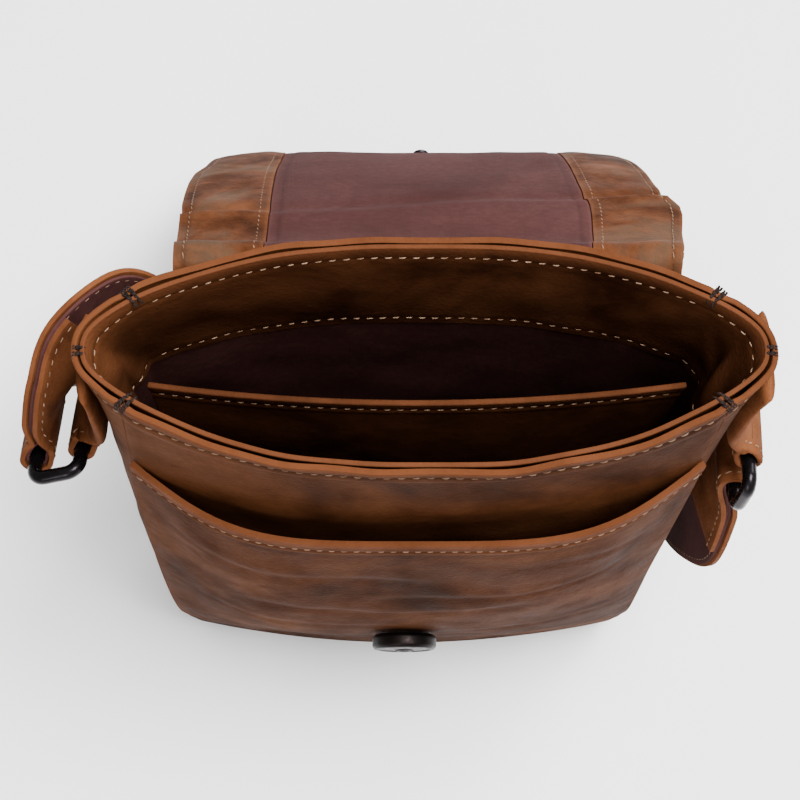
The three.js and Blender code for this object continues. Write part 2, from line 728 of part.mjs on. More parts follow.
// A tab folded over its ring, with both ends sewn one on the other to the top of the gusset.
function tabGeometry(frame, sign) {
  const top = frame.tabBar.z + TAB_LENGTH;
  const besideGusset = (height) => {
    const wall = sign > 0 ? "right" : "left";
    const reaches = range(2 * GUSSET_STEPS).map((share) => {
      const point = bodyPoint(wall, 2 * share - 1, height, 0);
      return Math.abs(point.y) < TAB_WIDTH / 2 ? point.x * sign : 0;
    });
    return sign * (Math.max(...reaches) + 2 * CLEARANCE + TAB_LEATHER + CLEARANCE / 2);
  };
  const middleHeight = top - TAB_LENGTH * TAB_MIDDLE_SHARE;
  const sewnHeight = top - TAB_LENGTH * TAB_SEWN_SHARE;
  const middle = new THREE.Vector3(besideGusset(middleHeight) + sign, frame.tabBar.y * 0.6, middleHeight);
  const places = [
    frame.tabBar.clone(),
    leadPlace(frame.tabBar, frame.long, middle, LEAD_LENGTH),
    middle,
    new THREE.Vector3(besideGusset(sewnHeight), 0, sewnHeight),
    new THREE.Vector3(besideGusset(top), 0, top),
  ];
  const back = frame.long.clone().negate();
  const acrosses = [
    back,
    back,
    new THREE.Vector3(0, 1, 0).lerp(back, 0.4),
    new THREE.Vector3(0, 1, 0),
    new THREE.Vector3(0, 1, 0),
  ];
  const stations = runStations(places, acrosses, TAB_STEPS);
  const radius = RING_WIRE / 2 + CLEARANCE + TAB_LEATHER / 2;
  const gapAt = (index) => foldGap(stations[index].place.distanceTo(frame.tabBar), radius, TAB_LEATHER);
  const facingLeg = legSections(stations, 1, gapAt).reverse();
  const turnedLeg = legSections(stations, -1, gapAt);
  const fold = foldSections(stations[0], radius, 0, 1).slice(1, -1);
  return bandGeometry([...facingLeg, ...fold, ...turnedLeg], TAB_WIDTH, -TAB_LEATHER / 2, TAB_LEATHER / 2);
}

// The strap's stops: an end folded round the left ring, the whole run, and an end round the right ring.
function strapSections(left, right) {
  const rowPlace = (row) =>
    new THREE.Vector3(
      row.side * SIDE_REACH,
      row.back * FLAP_REACH,
      row.up * BAG_HEIGHT + STRAP_WIDTH / 2 + CLEARANCE,
    );
  const rowAcross = (row) => new THREE.Vector3(row.edgeX, row.edgeY, row.edgeZ).normalize();
  const between = STRAP_ROUTE.map(rowPlace);
  const leftBack = left.long.clone().negate();
  const places = [
    left.strapBar,
    leadPlace(left.strapBar, left.long, between[0], LEAD_LENGTH),
    ...between,
    leadPlace(right.strapBar, right.long, between.at(-1), LEAD_LENGTH),
    right.strapBar,
  ];
  const acrosses = [leftBack, leftBack, ...STRAP_ROUTE.map(rowAcross), right.long, right.long];
  const stations = runStations(places, acrosses, STRAP_STEPS);
  const radius = RING_WIRE / 2 + CLEARANCE + STRAP_THICKNESS / 2;
  const last = stations.length - 1;
  const travelled = [0];
  for (let index = 1; index <= last; index += 1) {
    travelled.push(travelled[index - 1] + stations[index].place.distanceTo(stations[index - 1].place));
  }
  const fromEnd = (index) => Math.min(travelled[index], travelled[last] - travelled[index]);
  const gapAt = (index) => foldGap(fromEnd(index), radius, STRAP_THICKNESS);
  const inLeftEnd = stations.filter((_, index) => travelled[index] <= STRAP_END_LENGTH);
  const inRightEnd = stations.filter((_, index) => travelled[last] - travelled[index] <= STRAP_END_LENGTH);
  const rightStart = stations.length - inRightEnd.length;
  return [
    ...legSections(inLeftEnd, 1, gapAt).reverse(),
    ...foldSections(stations[0], radius, 0, 1).slice(1, -1),
    ...legSections(stations, -1, gapAt),
    ...foldSections(turnedBack(stations[last]), radius, 1, 0).slice(1, -1),
    ...legSections(inRightEnd, 1, (index) => gapAt(index + rightStart)).reverse(),
  ];
}

// The same station seen from the other end of the run.
const turnedBack = (station) => ({ ...station, onwards: station.onwards.clone().negate() });

// Materials
function material(colour, roughness, metalness = 0) {
  return new THREE.MeshStandardMaterial({ color: colour, roughness, metalness });
}
const tanLeather = () => material(0x7a5438, 0.62);
const darkLeather = () => material(0x5a3c2c, 0.66);
const liningCloth = () => material(0x4c3230, 0.8);
const gunmetal = () => material(0x2c2a2d, 0.3, 0.9);

const bag = new THREE.Group();
function addPiece(name, geometry, finish) {
  const mesh = new THREE.Mesh(geometry, finish);
  mesh.name = name;
  bag.add(mesh);
}

addPiece("front_panel", panelGeometry("front", PANEL_STEPS), tanLeather());
addPiece("back_panel", panelGeometry("back", PANEL_STEPS), tanLeather());
addPiece("left_gusset", panelGeometry("left", GUSSET_STEPS), tanLeather());
addPiece("right_gusset", panelGeometry("right", GUSSET_STEPS), tanLeather());
addPiece("base_panel", basePanelGeometry(), tanLeather());
addPiece("mouth_facing", facingGeometry(), darkLeather());
addPiece("body_lining", liningGeometry(), liningCloth());
addPiece("divider", dividerGeometry(), darkLeather());
addPiece("front_pocket", pocketGeometry(), tanLeather());

const sideFacing = (2 * FLAP_FACING_WIDTH) / FLAP_WIDTH;
const seamGap = (2 * CLEARANCE) / FLAP_WIDTH;
const endFacing = 1 - FLAP_END_FACING / flapLength();
const facingTop = CLEARANCE + FACING_LEATHER;
addPiece("flap", flapLayer(-1, 1, 0, 1, -LEATHER, 0), tanLeather());
addPiece(
  "flap_lining",
  flapLayer(-1 + sideFacing, 1 - sideFacing, FLAP_INSIDE_START, endFacing, CLEARANCE, CLEARANCE + FLAP_CLOTH),
  liningCloth(),
);
for (const [name, from, to] of [
  ["flap_facing_left", -1, -1 + sideFacing - seamGap],
  ["flap_facing_right", 1 - sideFacing + seamGap, 1],
]) {
  addPiece(name, flapLayer(from, to, FLAP_INSIDE_START, 1, CLEARANCE, facingTop), darkLeather());
}
const endStart = endFacing + CLEARANCE / flapLength();
const endLayer = flapLayer(-1 + sideFacing, 1 - sideFacing, endStart, 1, CLEARANCE, facingTop);
addPiece("flap_facing_end", endLayer, darkLeather());

const snapPlace = pocketPoint(0, SNAP_HEIGHT, 0);
const slope = pocketPoint(0, SNAP_HEIGHT + 5, 0).sub(pocketPoint(0, SNAP_HEIGHT - 5, 0)).normalize();
const snapFacing = new THREE.Vector3(1, 0, 0).cross(slope).normalize();
const snapRadius = SNAP_DIAMETER / 2;
const snapProfile = [
  [0, CLEARANCE],
  [snapRadius * 0.9, CLEARANCE],
  [snapRadius, SNAP_THICKNESS * 0.35],
  [snapRadius * 0.97, SNAP_THICKNESS * 0.8],
  [snapRadius * 0.82, SNAP_THICKNESS],
  [snapRadius * 0.36, SNAP_THICKNESS],
  [snapRadius * 0.34, SNAP_THICKNESS * 0.5],
  [0, SNAP_THICKNESS * 0.5],
];
addPiece("snap_socket", turnedGeometry(snapProfile, snapPlace, snapFacing), gunmetal());

const studAlong = 1 - STUD_FROM_END / flapLength();
const studFacing = flapNormal(0, studAlong);
const studPlace = flapPoint(0, studAlong).addScaledVector(studFacing, facingTop);
const studRadius = STUD_DIAMETER / 2;
const studProfile = [
  [0, CLEARANCE],
  [studRadius, CLEARANCE],
  [studRadius * 0.9, SNAP_THICKNESS * 0.4],
  [studRadius * 0.5, SNAP_THICKNESS * 0.5],
  [studRadius * 0.45, SNAP_THICKNESS],
  [0, SNAP_THICKNESS * 1.05],
];
addPiece("snap_stud", turnedGeometry(studProfile, studPlace, studFacing), gunmetal());

const leftFrame = ringFrame(RING_PLACES.left);
const rightFrame = ringFrame(RING_PLACES.right);
addPiece("left_ring", ringGeometry(leftFrame), gunmetal());
addPiece("right_ring", ringGeometry(rightFrame), gunmetal());
addPiece("left_tab", tabGeometry(leftFrame, -1), tanLeather());
addPiece("right_tab", tabGeometry(rightFrame, 1), tanLeather());

const sections = strapSections(leftFrame, rightFrame);
const halfStrap = STRAP_THICKNESS / 2;
addPiece("strap", bandGeometry(sections, STRAP_WIDTH, halfStrap - STRAP_LEATHER, halfStrap), tanLeather());
addPiece(
  "strap_lining",
  bandGeometry(sections, STRAP_WIDTH - 2 * STRAP_CLOTH_INSET, -halfStrap, STRAP_CLOTH - halfStrap),
  liningCloth(),
);

export default bag;
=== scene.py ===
# %% [markdown]
# # A leather crossbody bag, standing open
#
# The bag is cut from oiled tan leather and lined with dark cloth. It stands upright, its mouth is
# open and its flap is thrown back behind it. Each piece below is worked out from the same few
# sizes as the solid model, but with a much finer surface: turned edges, creases, rubbed patches
# and every stitch.

# %% Load the frame
import math

import bpy
import numpy as np
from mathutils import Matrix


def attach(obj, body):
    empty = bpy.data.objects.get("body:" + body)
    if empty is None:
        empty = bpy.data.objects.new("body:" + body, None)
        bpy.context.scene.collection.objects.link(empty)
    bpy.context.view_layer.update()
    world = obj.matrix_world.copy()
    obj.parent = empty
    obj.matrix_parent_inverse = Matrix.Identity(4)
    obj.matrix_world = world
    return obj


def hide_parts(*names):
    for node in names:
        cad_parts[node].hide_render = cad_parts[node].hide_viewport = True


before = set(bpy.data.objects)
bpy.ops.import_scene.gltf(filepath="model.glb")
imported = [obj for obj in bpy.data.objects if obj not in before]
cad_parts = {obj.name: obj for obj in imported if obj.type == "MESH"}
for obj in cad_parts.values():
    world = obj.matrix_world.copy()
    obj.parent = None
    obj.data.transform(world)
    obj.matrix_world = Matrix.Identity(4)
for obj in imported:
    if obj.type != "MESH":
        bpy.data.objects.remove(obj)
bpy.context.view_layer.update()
print("nodes in the frame:", len(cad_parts))

# %% [markdown]
# ## Sizes
#
# Lengths are in millimetres until a mesh is made, because a bag is cut and sewn in millimetres.
# The forms could be sculpted by hand, but then nothing would follow when a size changes. So the
# tables hold shares of the named sizes, a row for each level of the body or bend of the flap.

# %% Sizes of the body, pocket and flap


def table_rows(columns, rows):
    """A table as one dictionary for each row."""
    return [dict(zip(columns.split(), row)) for row in rows]


MM = 0.001
BAG_HEIGHT = 220
SEAM_REACH = 72
SIDE_REACH = 84
FRONT_REACH = 32
BACK_REACH = 28.6
SEAM_DEPTH = 19
BOTTOM_CORNER_RADIUS = 10
PLEAT_DEPTH = 5
PLEAT_SPREAD = 0.3
FOOT_BOW_POWER = 2.2
MOUTH_BOW_POWER = 2.5
GUSSET_BOW_POWER = 1.8
POCKET_TOP_BOW_POWER = 4
POCKET_TOP_EASE = 0.35
BODY_LEAN = -3
LEATHER = 1.5
LINING = 1.2
CLEARANCE = 0.3
LAYER_GAP = 0.5
FACING_HEIGHT = 43
DIVIDER_HEIGHT = 186
DIVIDER_THICKNESS = 1.6
DIVIDER_PLACE = 4
DIVIDER_BOW = 5
POCKET_REACH = 39
POCKET_HEM_DROP = 33
POCKET_HEM_DIP = 7
FLAP_WIDTH = 152
FLAP_ROOT_WIDTH = 130
FLAP_ROOT_HEIGHT = 176
FLAP_REACH = 155
FLAP_SHIFT = 5
FLAP_DROOP = 5
FLAP_CORNER_RADIUS = 20
FLAP_FACING_WIDTH = 27
FLAP_END_FACING = 34
FACING_LEATHER = 1.1
FLAP_CLOTH = 0.8

BODY_LEVELS = table_rows("up seam front frontSeam back backSeam side pleat lean", [
    (0.0, 0.99, 0.52, 0.46, 0.62, 0.75, 0.88, 0.0, 0.5),
    (0.045, 1, 0.56, 0.57, 0.66, 0.8, 0.885, 0.05, 0.55),
    (0.1, 1, 0.63, 0.69, 0.74, 0.86, 0.89, 0.1, 0.65),
    (0.2, 1, 0.76, 0.9, 0.82, 0.92, 0.9, 0.3, 0.8),
    (0.3, 1, 0.87, 0.98, 0.88, 0.95, 0.908, 0.5, 0.95),
    (0.45, 1, 0.93, 1, 0.92, 0.95, 0.918, 0.8, 1),
    (0.62, 1, 0.94, 0.99, 0.95, 0.92, 0.925, 1, 0.8),
    (0.8, 1, 0.945, 0.93, 0.98, 0.86, 0.94, 0.95, 0.45),
    (0.93, 0.998, 0.97, 0.85, 1, 0.8, 0.967, 0.45, 0.15),
    (1.0, 0.993, 1, 0.816, 1, 0.774, 1, 0.16, 0),
])
POCKET_LEVELS = table_rows("up out", [
    (0.0, 0.475),
    (0.06, 0.535),
    (0.1, 0.58),
    (0.18, 0.68),
    (0.27, 0.795),
    (0.36, 0.9),
    (0.48, 0.98),
    (0.62, 0.99),
    (0.85, 0.953),
])
FLAP_BENDS = table_rows("along back up wide shift droop", [
    (0.0, 0, 1.0, 0.0, 0.3, 0.0),
    (0.05, 0.0202, 1.07, 0.0, 0.3, 0.0),
    (0.08, 0.0472, 1.1, 0.0, 0.35, 0.0),
    (0.11, 0.0888, 1.085, 0.05, 0.4, 0.0),
    (0.18, 0.1476, 0.99, 0.25, 0.5, 0.05),
    (0.27, 0.2186, 0.875, 0.55, 0.7, 0.15),
    (0.36, 0.3129, 0.762, 0.8, 0.85, 0.3),
    (0.48, 0.4795, 0.64, 0.95, 1.0, 0.45),
    (0.66, 0.7097, 0.455, 1.0, 1.0, 0.8),
    (0.84, 0.9461, 0.225, 1.0, 1.0, 1.0),
    (0.92, 0.9816, 0.125, 1.0, 1.0, 0.6),
    (1.0, 0.951, 0.0, 1.0, 1.0, 0.0),
])

# %% Sizes of the fastener, rings, tabs and strap
SNAP_DIAMETER = 19
SNAP_THICKNESS = 5
SNAP_HEIGHT = 83
STUD_DIAMETER = 12
STUD_FROM_END = 20
RING_WIRE = 3.8
RING_INNER_LENGTH = 30
RING_INNER_WIDTH = 9.2
RING_CORNER_RADIUS = 3.5
RING_SLACK_SHIFT = 1.2
TAB_WIDTH = 23
TAB_LEATHER = 1.5
TAB_LENGTH = 50
TAB_MIDDLE_SHARE = 0.66
TAB_SEWN_SHARE = 0.47
STRAP_WIDTH = 24
STRAP_LEATHER = 1.2
STRAP_CLOTH = 0.6
STRAP_CLOTH_INSET = 1
STRAP_THICKNESS = STRAP_LEATHER + LAYER_GAP + STRAP_CLOTH
STRAP_END_LENGTH = 39
LEAD_LENGTH = 7
FOLD_CLOSES = 12

# The strap's route, a row for each point: place, then the way across towards its lower edge.
STRAP_ROUTE = [
    (-1.138, 0.037, 0.727, 0.2, 0.6, -0.74),
    (-1.1, 0.06, 0.769, 0.22, 0.35, -0.88),
    (-1.05, 0.1, 0.8, 0.2, 0.08, -0.97),
    (-0.97, 0.15, 0.803, -0.05, 0, -1),
    (-0.905, 0.184, 0.752, -0.55, -0.1, -0.8),
    (-0.85, 0.2, 0.655, -0.93, -0.1, -0.36),
    (-0.81, 0.228, 0.52, -1, 0, 0),
    (-0.79, 0.3, 0.27, -1, 0, 0),
    (-0.79, 0.42, 0.09, -0.85, 0, -0.5),
    (-0.78, 0.53, 0.02, -0.3, 0, -1),
    (-0.74, 0.65, 0.004, 0, 0, -1),
    (-0.64, 0.78, 0, 0, 0, -1),
    (-0.47, 0.78, 0, 0, 0, -1),
    (-0.37, 0.63, 0, 0, 0, -1),
    (-0.32, 0.45, 0, 0, 0, -1),
    (-0.22, 0.31, 0, 0, 0, -1),
    (-0.07, 0.31, 0, 0, 0, -1),
    (0.03, 0.45, 0, 0, 0, -1),
    (0.07, 0.63, 0, 0, 0, -1),
    (0.16, 0.78, 0, 0, 0, -1),
    (0.32, 0.78, 0, 0, 0, -1),
    (0.41, 0.63, 0, 0, 0, -1),
    (0.44, 0.46, 0, 0, 0, -1),
    (0.52, 0.33, 0, 0, 0, -1),
    (0.64, 0.34, 0, 0, 0, -1),
    (0.7, 0.48, 0, 0, 0, -1),
    (0.74, 0.66, 0, 0, 0, -1),
    (0.84, 0.77, 0, 0, 0, -1),
    (0.97, 0.71, 0, 0, 0, -1),
    (1.0, 0.57, 0, 0, 0, -1),
    (0.98, 0.42, 0.005, 0, -0.1, -1),
    (0.98, 0.25, 0.05, 0, -0.45, -0.9),
    (0.98, 0.12, 0.145, 0, -0.65, -0.76),
    (0.98, 0.02, 0.275, 0.05, -0.85, -0.5),
    (0.99, -0.05, 0.41, 0.18, -0.97, -0.15),
    (1.0, -0.03, 0.54, 0.15, -0.98, 0),
]
RING_PLACES = {
    "left": dict(
        side=-1.048, back=0.022, up=0.737, long_axis=(-0.03, -0.93, 0.36), across_axis=(-0.94, 0, -0.34)
    ),
    "right": dict(
        side=1.03, back=0.006, up=0.745, long_axis=(-0.05, -0.98, 0.15), across_axis=(-0.12, -0.15, -0.98)
    ),
}

# %% [markdown]
# ## Camera and light
#
# The photograph looks steeply down into the open mouth, from above the front. A long lens stands
# a little over half a metre away. One strong soft light could do, but it leaves the inside of the
# mouth black, so two dim ones from the front and from behind fill it, and the sky helps.

# %% Camera, floor and lights
CAMERA_PLACE = (-0.0117, -0.1697, 0.6267)
CAMERA_TILT = 21
LENS = 84.06
SIDEWAYS_SHIFT = 0.03125
SENSOR = 36
FLOOR_WHITE = 0.94
SKY_STRENGTH = 0.9

# Each light's place, what it points at, its size in metres and its watts.
LIGHTS = {
    "overhead": ((0.3, -0.1, 1.35), (0, 0, 0.1), 0.6, 50),
    "front": ((-0.55, -1.15, 0.8), (0, 0, 0.12), 0.6, 10),
    "behind": ((0.75, 0.7, 0.8), (0, 0.05, 0.1), 0.5, 14),
}


def make_camera():
    camera = bpy.data.objects.new("camera", bpy.data.cameras.new("camera"))
    bpy.context.collection.objects.link(camera)
    camera.location = CAMERA_PLACE
    camera.rotation_euler = (math.radians(CAMERA_TILT), 0, 0)
    camera.data.lens = LENS
    camera.data.sensor_width = SENSOR
    camera.data.shift_x = SIDEWAYS_SHIFT
    camera.data.clip_start = 0.01
    bpy.context.scene.camera = camera


def area_light(name, place, aim, size, watts):
    light = bpy.data.objects.new(name, bpy.data.lights.new(name, "AREA"))
    bpy.context.collection.objects.link(light)
    light.location = place
    x, y, z = np.subtract(aim, place)
    light.rotation_euler = (math.atan2(math.hypot(x, y), -z), 0, math.atan2(y, x) - math.pi / 2)
    light.data.size = size
    light.data.energy = watts


def make_studio():
    bpy.ops.mesh.primitive_plane_add(size=12, location=(0, 0, 0))
    floor = bpy.context.object
    floor.name = "floor"
    paper = bpy.data.materials.new("pale_paper")
    paper.use_nodes = True
    shader = paper.node_tree.nodes["Principled BSDF"]
    shader.inputs["Base Color"].default_value = (FLOOR_WHITE, FLOOR_WHITE, FLOOR_WHITE, 1)
    shader.inputs["Roughness"].default_value = 0.9
    floor.data.materials.append(paper)
    world = bpy.data.worlds.new("studio")
    bpy.context.scene.world = world
    world.use_nodes = True
    sky = world.node_tree.nodes["Background"]
    sky.inputs["Color"].default_value = (1, 1, 1, 1)
    sky.inputs["Strength"].default_value = SKY_STRENGTH
    for name, (place, aim, size, watts) in LIGHTS.items():
        area_light(name, place, aim, size, watts)


make_camera()
make_studio()
print("camera and", len(bpy.data.lights), "lights")

# %% [markdown]
# ## The bag's surface as functions
#
# Four stiff walls meet at four seams, and each bows outwards between them. They could be modelled
# as polygons and smoothed, but stitches, creases and linings then have nothing exact to follow.
# So a smooth reading of the tables gives the body's size at any height, and from there a point of
# each wall is a matter of two numbers: how far across the wall, and how high.

# %% Reading the tables


def read_table(rows, key, column, place):
    """One column of a table at each place, along a smooth curve through its rows."""
    keys = np.array([row[key] for row in rows], float)
    values = np.array([row[column] for row in rows], float)
    place = np.asarray(place, float)
    last = len(rows) - 1
    low = np.clip(np.searchsorted(keys, place, side="left") - 1, 0, last - 1)
    high = low + 1
    before = np.maximum(low - 1, 0)
    after = np.minimum(low + 2, last)
    span = keys[high] - keys[low]
    share = np.clip((place - keys[low]) / span, 0, 1)
    slope_low = (values[high] - values[before]) / (keys[high] - keys[before]) * span
    slope_high = (values[after] - values[low]) / (keys[after] - keys[low]) * span
    square, cube = share**2, share**3
    return (
        (2 * cube - 3 * square + 1) * values[low]
        + (cube - 2 * square + share) * slope_low
        + (3 * square - 2 * cube) * values[high]
        + (cube - square) * slope_high
    )


def smooth(value, low, high):
    share = np.clip((np.asarray(value, float) - low) / (high - low), 0, 1)
    return share * share * (3 - 2 * share)


def bump(value, middle, width):
    """A soft ridge round one place: 1 at its middle and nothing much further off."""
    return np.exp(-(((np.asarray(value, float) - middle) / width) ** 2))


def stack(x, y, z):
    return np.stack(np.broadcast_arrays(x, y, z), axis=-1).astype(float)


def unit(vectors):
    vectors = np.asarray(vectors, float)
    return vectors / np.maximum(np.linalg.norm(vectors, axis=-1, keepdims=True), 1e-12)


# %% Points of the body


def level_sizes(height, inset):
    height = np.asarray(height, float)

    def read(column):
        return read_table(BODY_LEVELS, "up", column, height / BAG_HEIGHT)

    radius = BOTTOM_CORNER_RADIUS - inset
    rise = np.maximum(BOTTOM_CORNER_RADIUS - height, 0)
    rounding = radius - np.sqrt(np.maximum(radius**2 - np.minimum(rise, radius) ** 2, 0))
    return dict(
        seam=SEAM_REACH * read("seam") - inset - rounding,
        side=SIDE_REACH * read("side") - inset - rounding,
        front=FRONT_REACH * read("front") - inset,
        front_seam=SEAM_DEPTH * read("frontSeam") - inset,
        back=BACK_REACH * read("back") - inset,
        back_seam=SEAM_DEPTH * read("backSeam") - inset,
        pleat=PLEAT_DEPTH * read("pleat"),
        lean=BODY_LEAN * read("lean"),
    )


def uprightness(height):
    return smooth(np.asarray(height, float) / BAG_HEIGHT, 0.1, 0.7)


def bow(across, height, top_power):
    """The share of a wall's bow at a place: flatter in its middle towards the mouth."""
    power = FOOT_BOW_POWER + (top_power - FOOT_BOW_POWER) * uprightness(height)
    return 1 - np.abs(across) ** power


def body_point(wall, across, height, inset=0.0):
    """A point of the body's wall. across runs from -1 to 1, from one seam to the other."""
    across, height = np.broadcast_arrays(np.asarray(across, float), np.asarray(height, float))
    size = level_sizes(height, inset)
    crown = bow(across, height, MOUTH_BOW_POWER)
    if wall == "front":
        depth = size["front_seam"] + (size["front"] - size["front_seam"]) * crown
        return stack(size["lean"] + size["seam"] * across, -depth, height)
    if wall == "back":
        depth = size["back_seam"] + (size["back"] - size["back_seam"]) * crown
        return stack(size["lean"] - size["seam"] * across, depth, height)
    bulge = (size["side"] - size["seam"]) * (1 - np.abs(across) ** GUSSET_BOW_POWER)
    reach = size["seam"] + bulge - size["pleat"] * bump(across, 0, PLEAT_SPREAD)
    middle = (size["back_seam"] - size["front_seam"]) / 2
    half = (size["back_seam"] + size["front_seam"]) / 2
    side = 1 if wall == "right" else -1
    return stack(size["lean"] + side * reach, middle + side * half * across, height)


# %% Points of the pocket and flap


def pocket_hem(across):
    return BAG_HEIGHT - POCKET_HEM_DROP - POCKET_HEM_DIP * (1 - np.asarray(across, float) ** 4)


def pocket_point(across, height, inset=0.0):
    across, height = np.broadcast_arrays(np.asarray(across, float), np.asarray(height, float))
    size = level_sizes(height, 0)
    seam = size["front_seam"] + LEATHER + CLEARANCE - inset
    reach = POCKET_REACH * read_table(POCKET_LEVELS, "up", "out", height / BAG_HEIGHT) - inset
    crown = bow(across, height, POCKET_TOP_BOW_POWER) ** (1 + POCKET_TOP_EASE * uprightness(height))
    return stack(size["lean"] + size["seam"] * across, -seam - (reach - seam) * crown, height)


def flap_point(across, along):
    across, along = np.broadcast_arrays(np.asarray(across, float), np.asarray(along, float))

    def read(column):
        return read_table(FLAP_BENDS, "along", column, along)

    half = (FLAP_ROOT_WIDTH + (FLAP_WIDTH - FLAP_ROOT_WIDTH) * read("wide")) / 2
    droop = FLAP_DROOP * read("droop") * np.abs(across) ** 6
    root = level_sizes(FLAP_ROOT_HEIGHT, 0)["back"] + CLEARANCE
    return stack(
        half * across + FLAP_SHIFT * read("shift"),
        root + (FLAP_REACH - root) * read("back"),
        FLAP_ROOT_HEIGHT * read("up") - droop + CLEARANCE,
    )


def flap_normal(across, along):
    step = 0.004
    before, after = np.maximum(along - step, 0), np.minimum(along + step, 1)
    sideways = flap_point(across + step, along) - flap_point(across - step, along)
    onwards = flap_point(across, after) - flap_point(across, before)
    return unit(np.cross(sideways, onwards))


FLAP_LINE = flap_point(0, np.linspace(0, 1, 81))
FLAP_LENGTH = np.linalg.norm(np.diff(FLAP_LINE, axis=0), axis=1).sum()


def flap_end(across):
    """How far along the flap's outline ends, with its two round corners."""
    beside = FLAP_WIDTH / 2 * (1 - np.abs(across))
    in_corner = np.maximum(FLAP_CORNER_RADIUS - beside, 0)
    cut = FLAP_CORNER_RADIUS - np.sqrt(np.maximum(FLAP_CORNER_RADIUS**2 - in_corner**2, 0))
    return 1 - cut / FLAP_LENGTH


print("flap length", round(float(FLAP_LENGTH)), "mm")

# %% [markdown]
# ## Leather, cloth, metal and thread
#
# Oiled leather is never one colour. Handling rubs the wax off edges and folds, which turn orange.
# A painted image could show that, but it would fit one shape only. So each leather mixes three
# tones by slow noise, adds fine grain and scratches in the bump, and pales where a point carries a
# high "wear" value. Painted shade darkens it where a point carries a high "shade" value: in stitch
# grooves, in the hollows of folds and low down inside the bag. Cloth, plated metal and waxed
# thread are built the same way, from noise and waves.

# %% A short way to write a material


class Recipe:
    """A short way to write a material's nodes and links."""

    def __init__(self, name):
        self.material = bpy.data.materials.new(name)
        self.material.use_nodes = True
        self.tree = self.material.node_tree
        self.shader = self.tree.nodes["Principled BSDF"]
        self.place = self.tree.nodes.new("ShaderNodeTexCoord").outputs["Object"]

    def plug(self, socket, value):
        """A socket takes another node's output, a colour or a plain number."""
        if isinstance(value, bpy.types.NodeSocket):
            self.tree.links.new(value, socket)
        else:
            socket.default_value = (*value, 1) if socket.type == "RGBA" else value

    def node(self, kind, settings=None, inputs=None):
        made = self.tree.nodes.new(kind)
        for key, value in (settings or {}).items():
            setattr(made, key, value)
        for key, value in (inputs or {}).items():
            self.plug(made.inputs[key], value)
        return made

    def stretch(self, scale, turn=(0, 0, 0)):
        inputs = {"Vector": self.place, "Scale": scale, "Rotation": turn}
        return self.node("ShaderNodeMapping", inputs=inputs).outputs["Vector"]

    def noise(self, scale, detail=4, roughness=0.55, distortion=0.0, place=None):
        inputs = {
            "Scale": scale, "Detail": detail, "Roughness": roughness, "Distortion": distortion,
            "Vector": place or self.place,
        }
        return self.node("ShaderNodeTexNoise", inputs=inputs).outputs["Fac"]

    def ramp(self, source, stops):
        made = self.node("ShaderNodeValToRGB", inputs={"Fac": source})
        band = made.color_ramp
        while len(band.elements) < len(stops):
            band.elements.new(0.5)
        for element, (at, colour) in zip(band.elements, stops):
            element.position = at
            element.color = (*colour, 1) if isinstance(colour, tuple) else (colour, colour, colour, 1)
        return made.outputs["Color"]

    def mix(self, share, first, second):
        inputs = {0: share, 6: first, 7: second}
        return self.node("ShaderNodeMix", settings={"data_type": "RGBA"}, inputs=inputs).outputs[2]

    def times(self, first, second):
        inputs = {0: first, 1: second}
        return self.node("ShaderNodeMath", settings={"operation": "MULTIPLY"}, inputs=inputs).outputs[0]

    def wave(self, direction, inputs):
        inputs = {"Vector": self.place} | inputs
        return self.node("ShaderNodeTexWave", {"bands_direction": direction}, inputs).outputs["Fac"]

    def attribute(self, name):
        return self.node("ShaderNodeAttribute", settings={"attribute_name": name}).outputs["Fac"]

    def raise_by(self, height, distance, strength, before=None):
        inputs = {"Distance": distance, "Strength": strength, "Height": height}
        if before is not None:
            inputs["Normal"] = before
        return self.node("ShaderNodeBump", inputs=inputs).outputs["Normal"]

    def finish(self, **sockets):
        for name, value in sockets.items():
            self.plug(self.shader.inputs[name.replace("_", " ")], value)
        return self.material


# %% Leather
DUST = (0.045, 0.034, 0.023)


def scaled(colour, share):
    return tuple(channel * share for channel in colour)


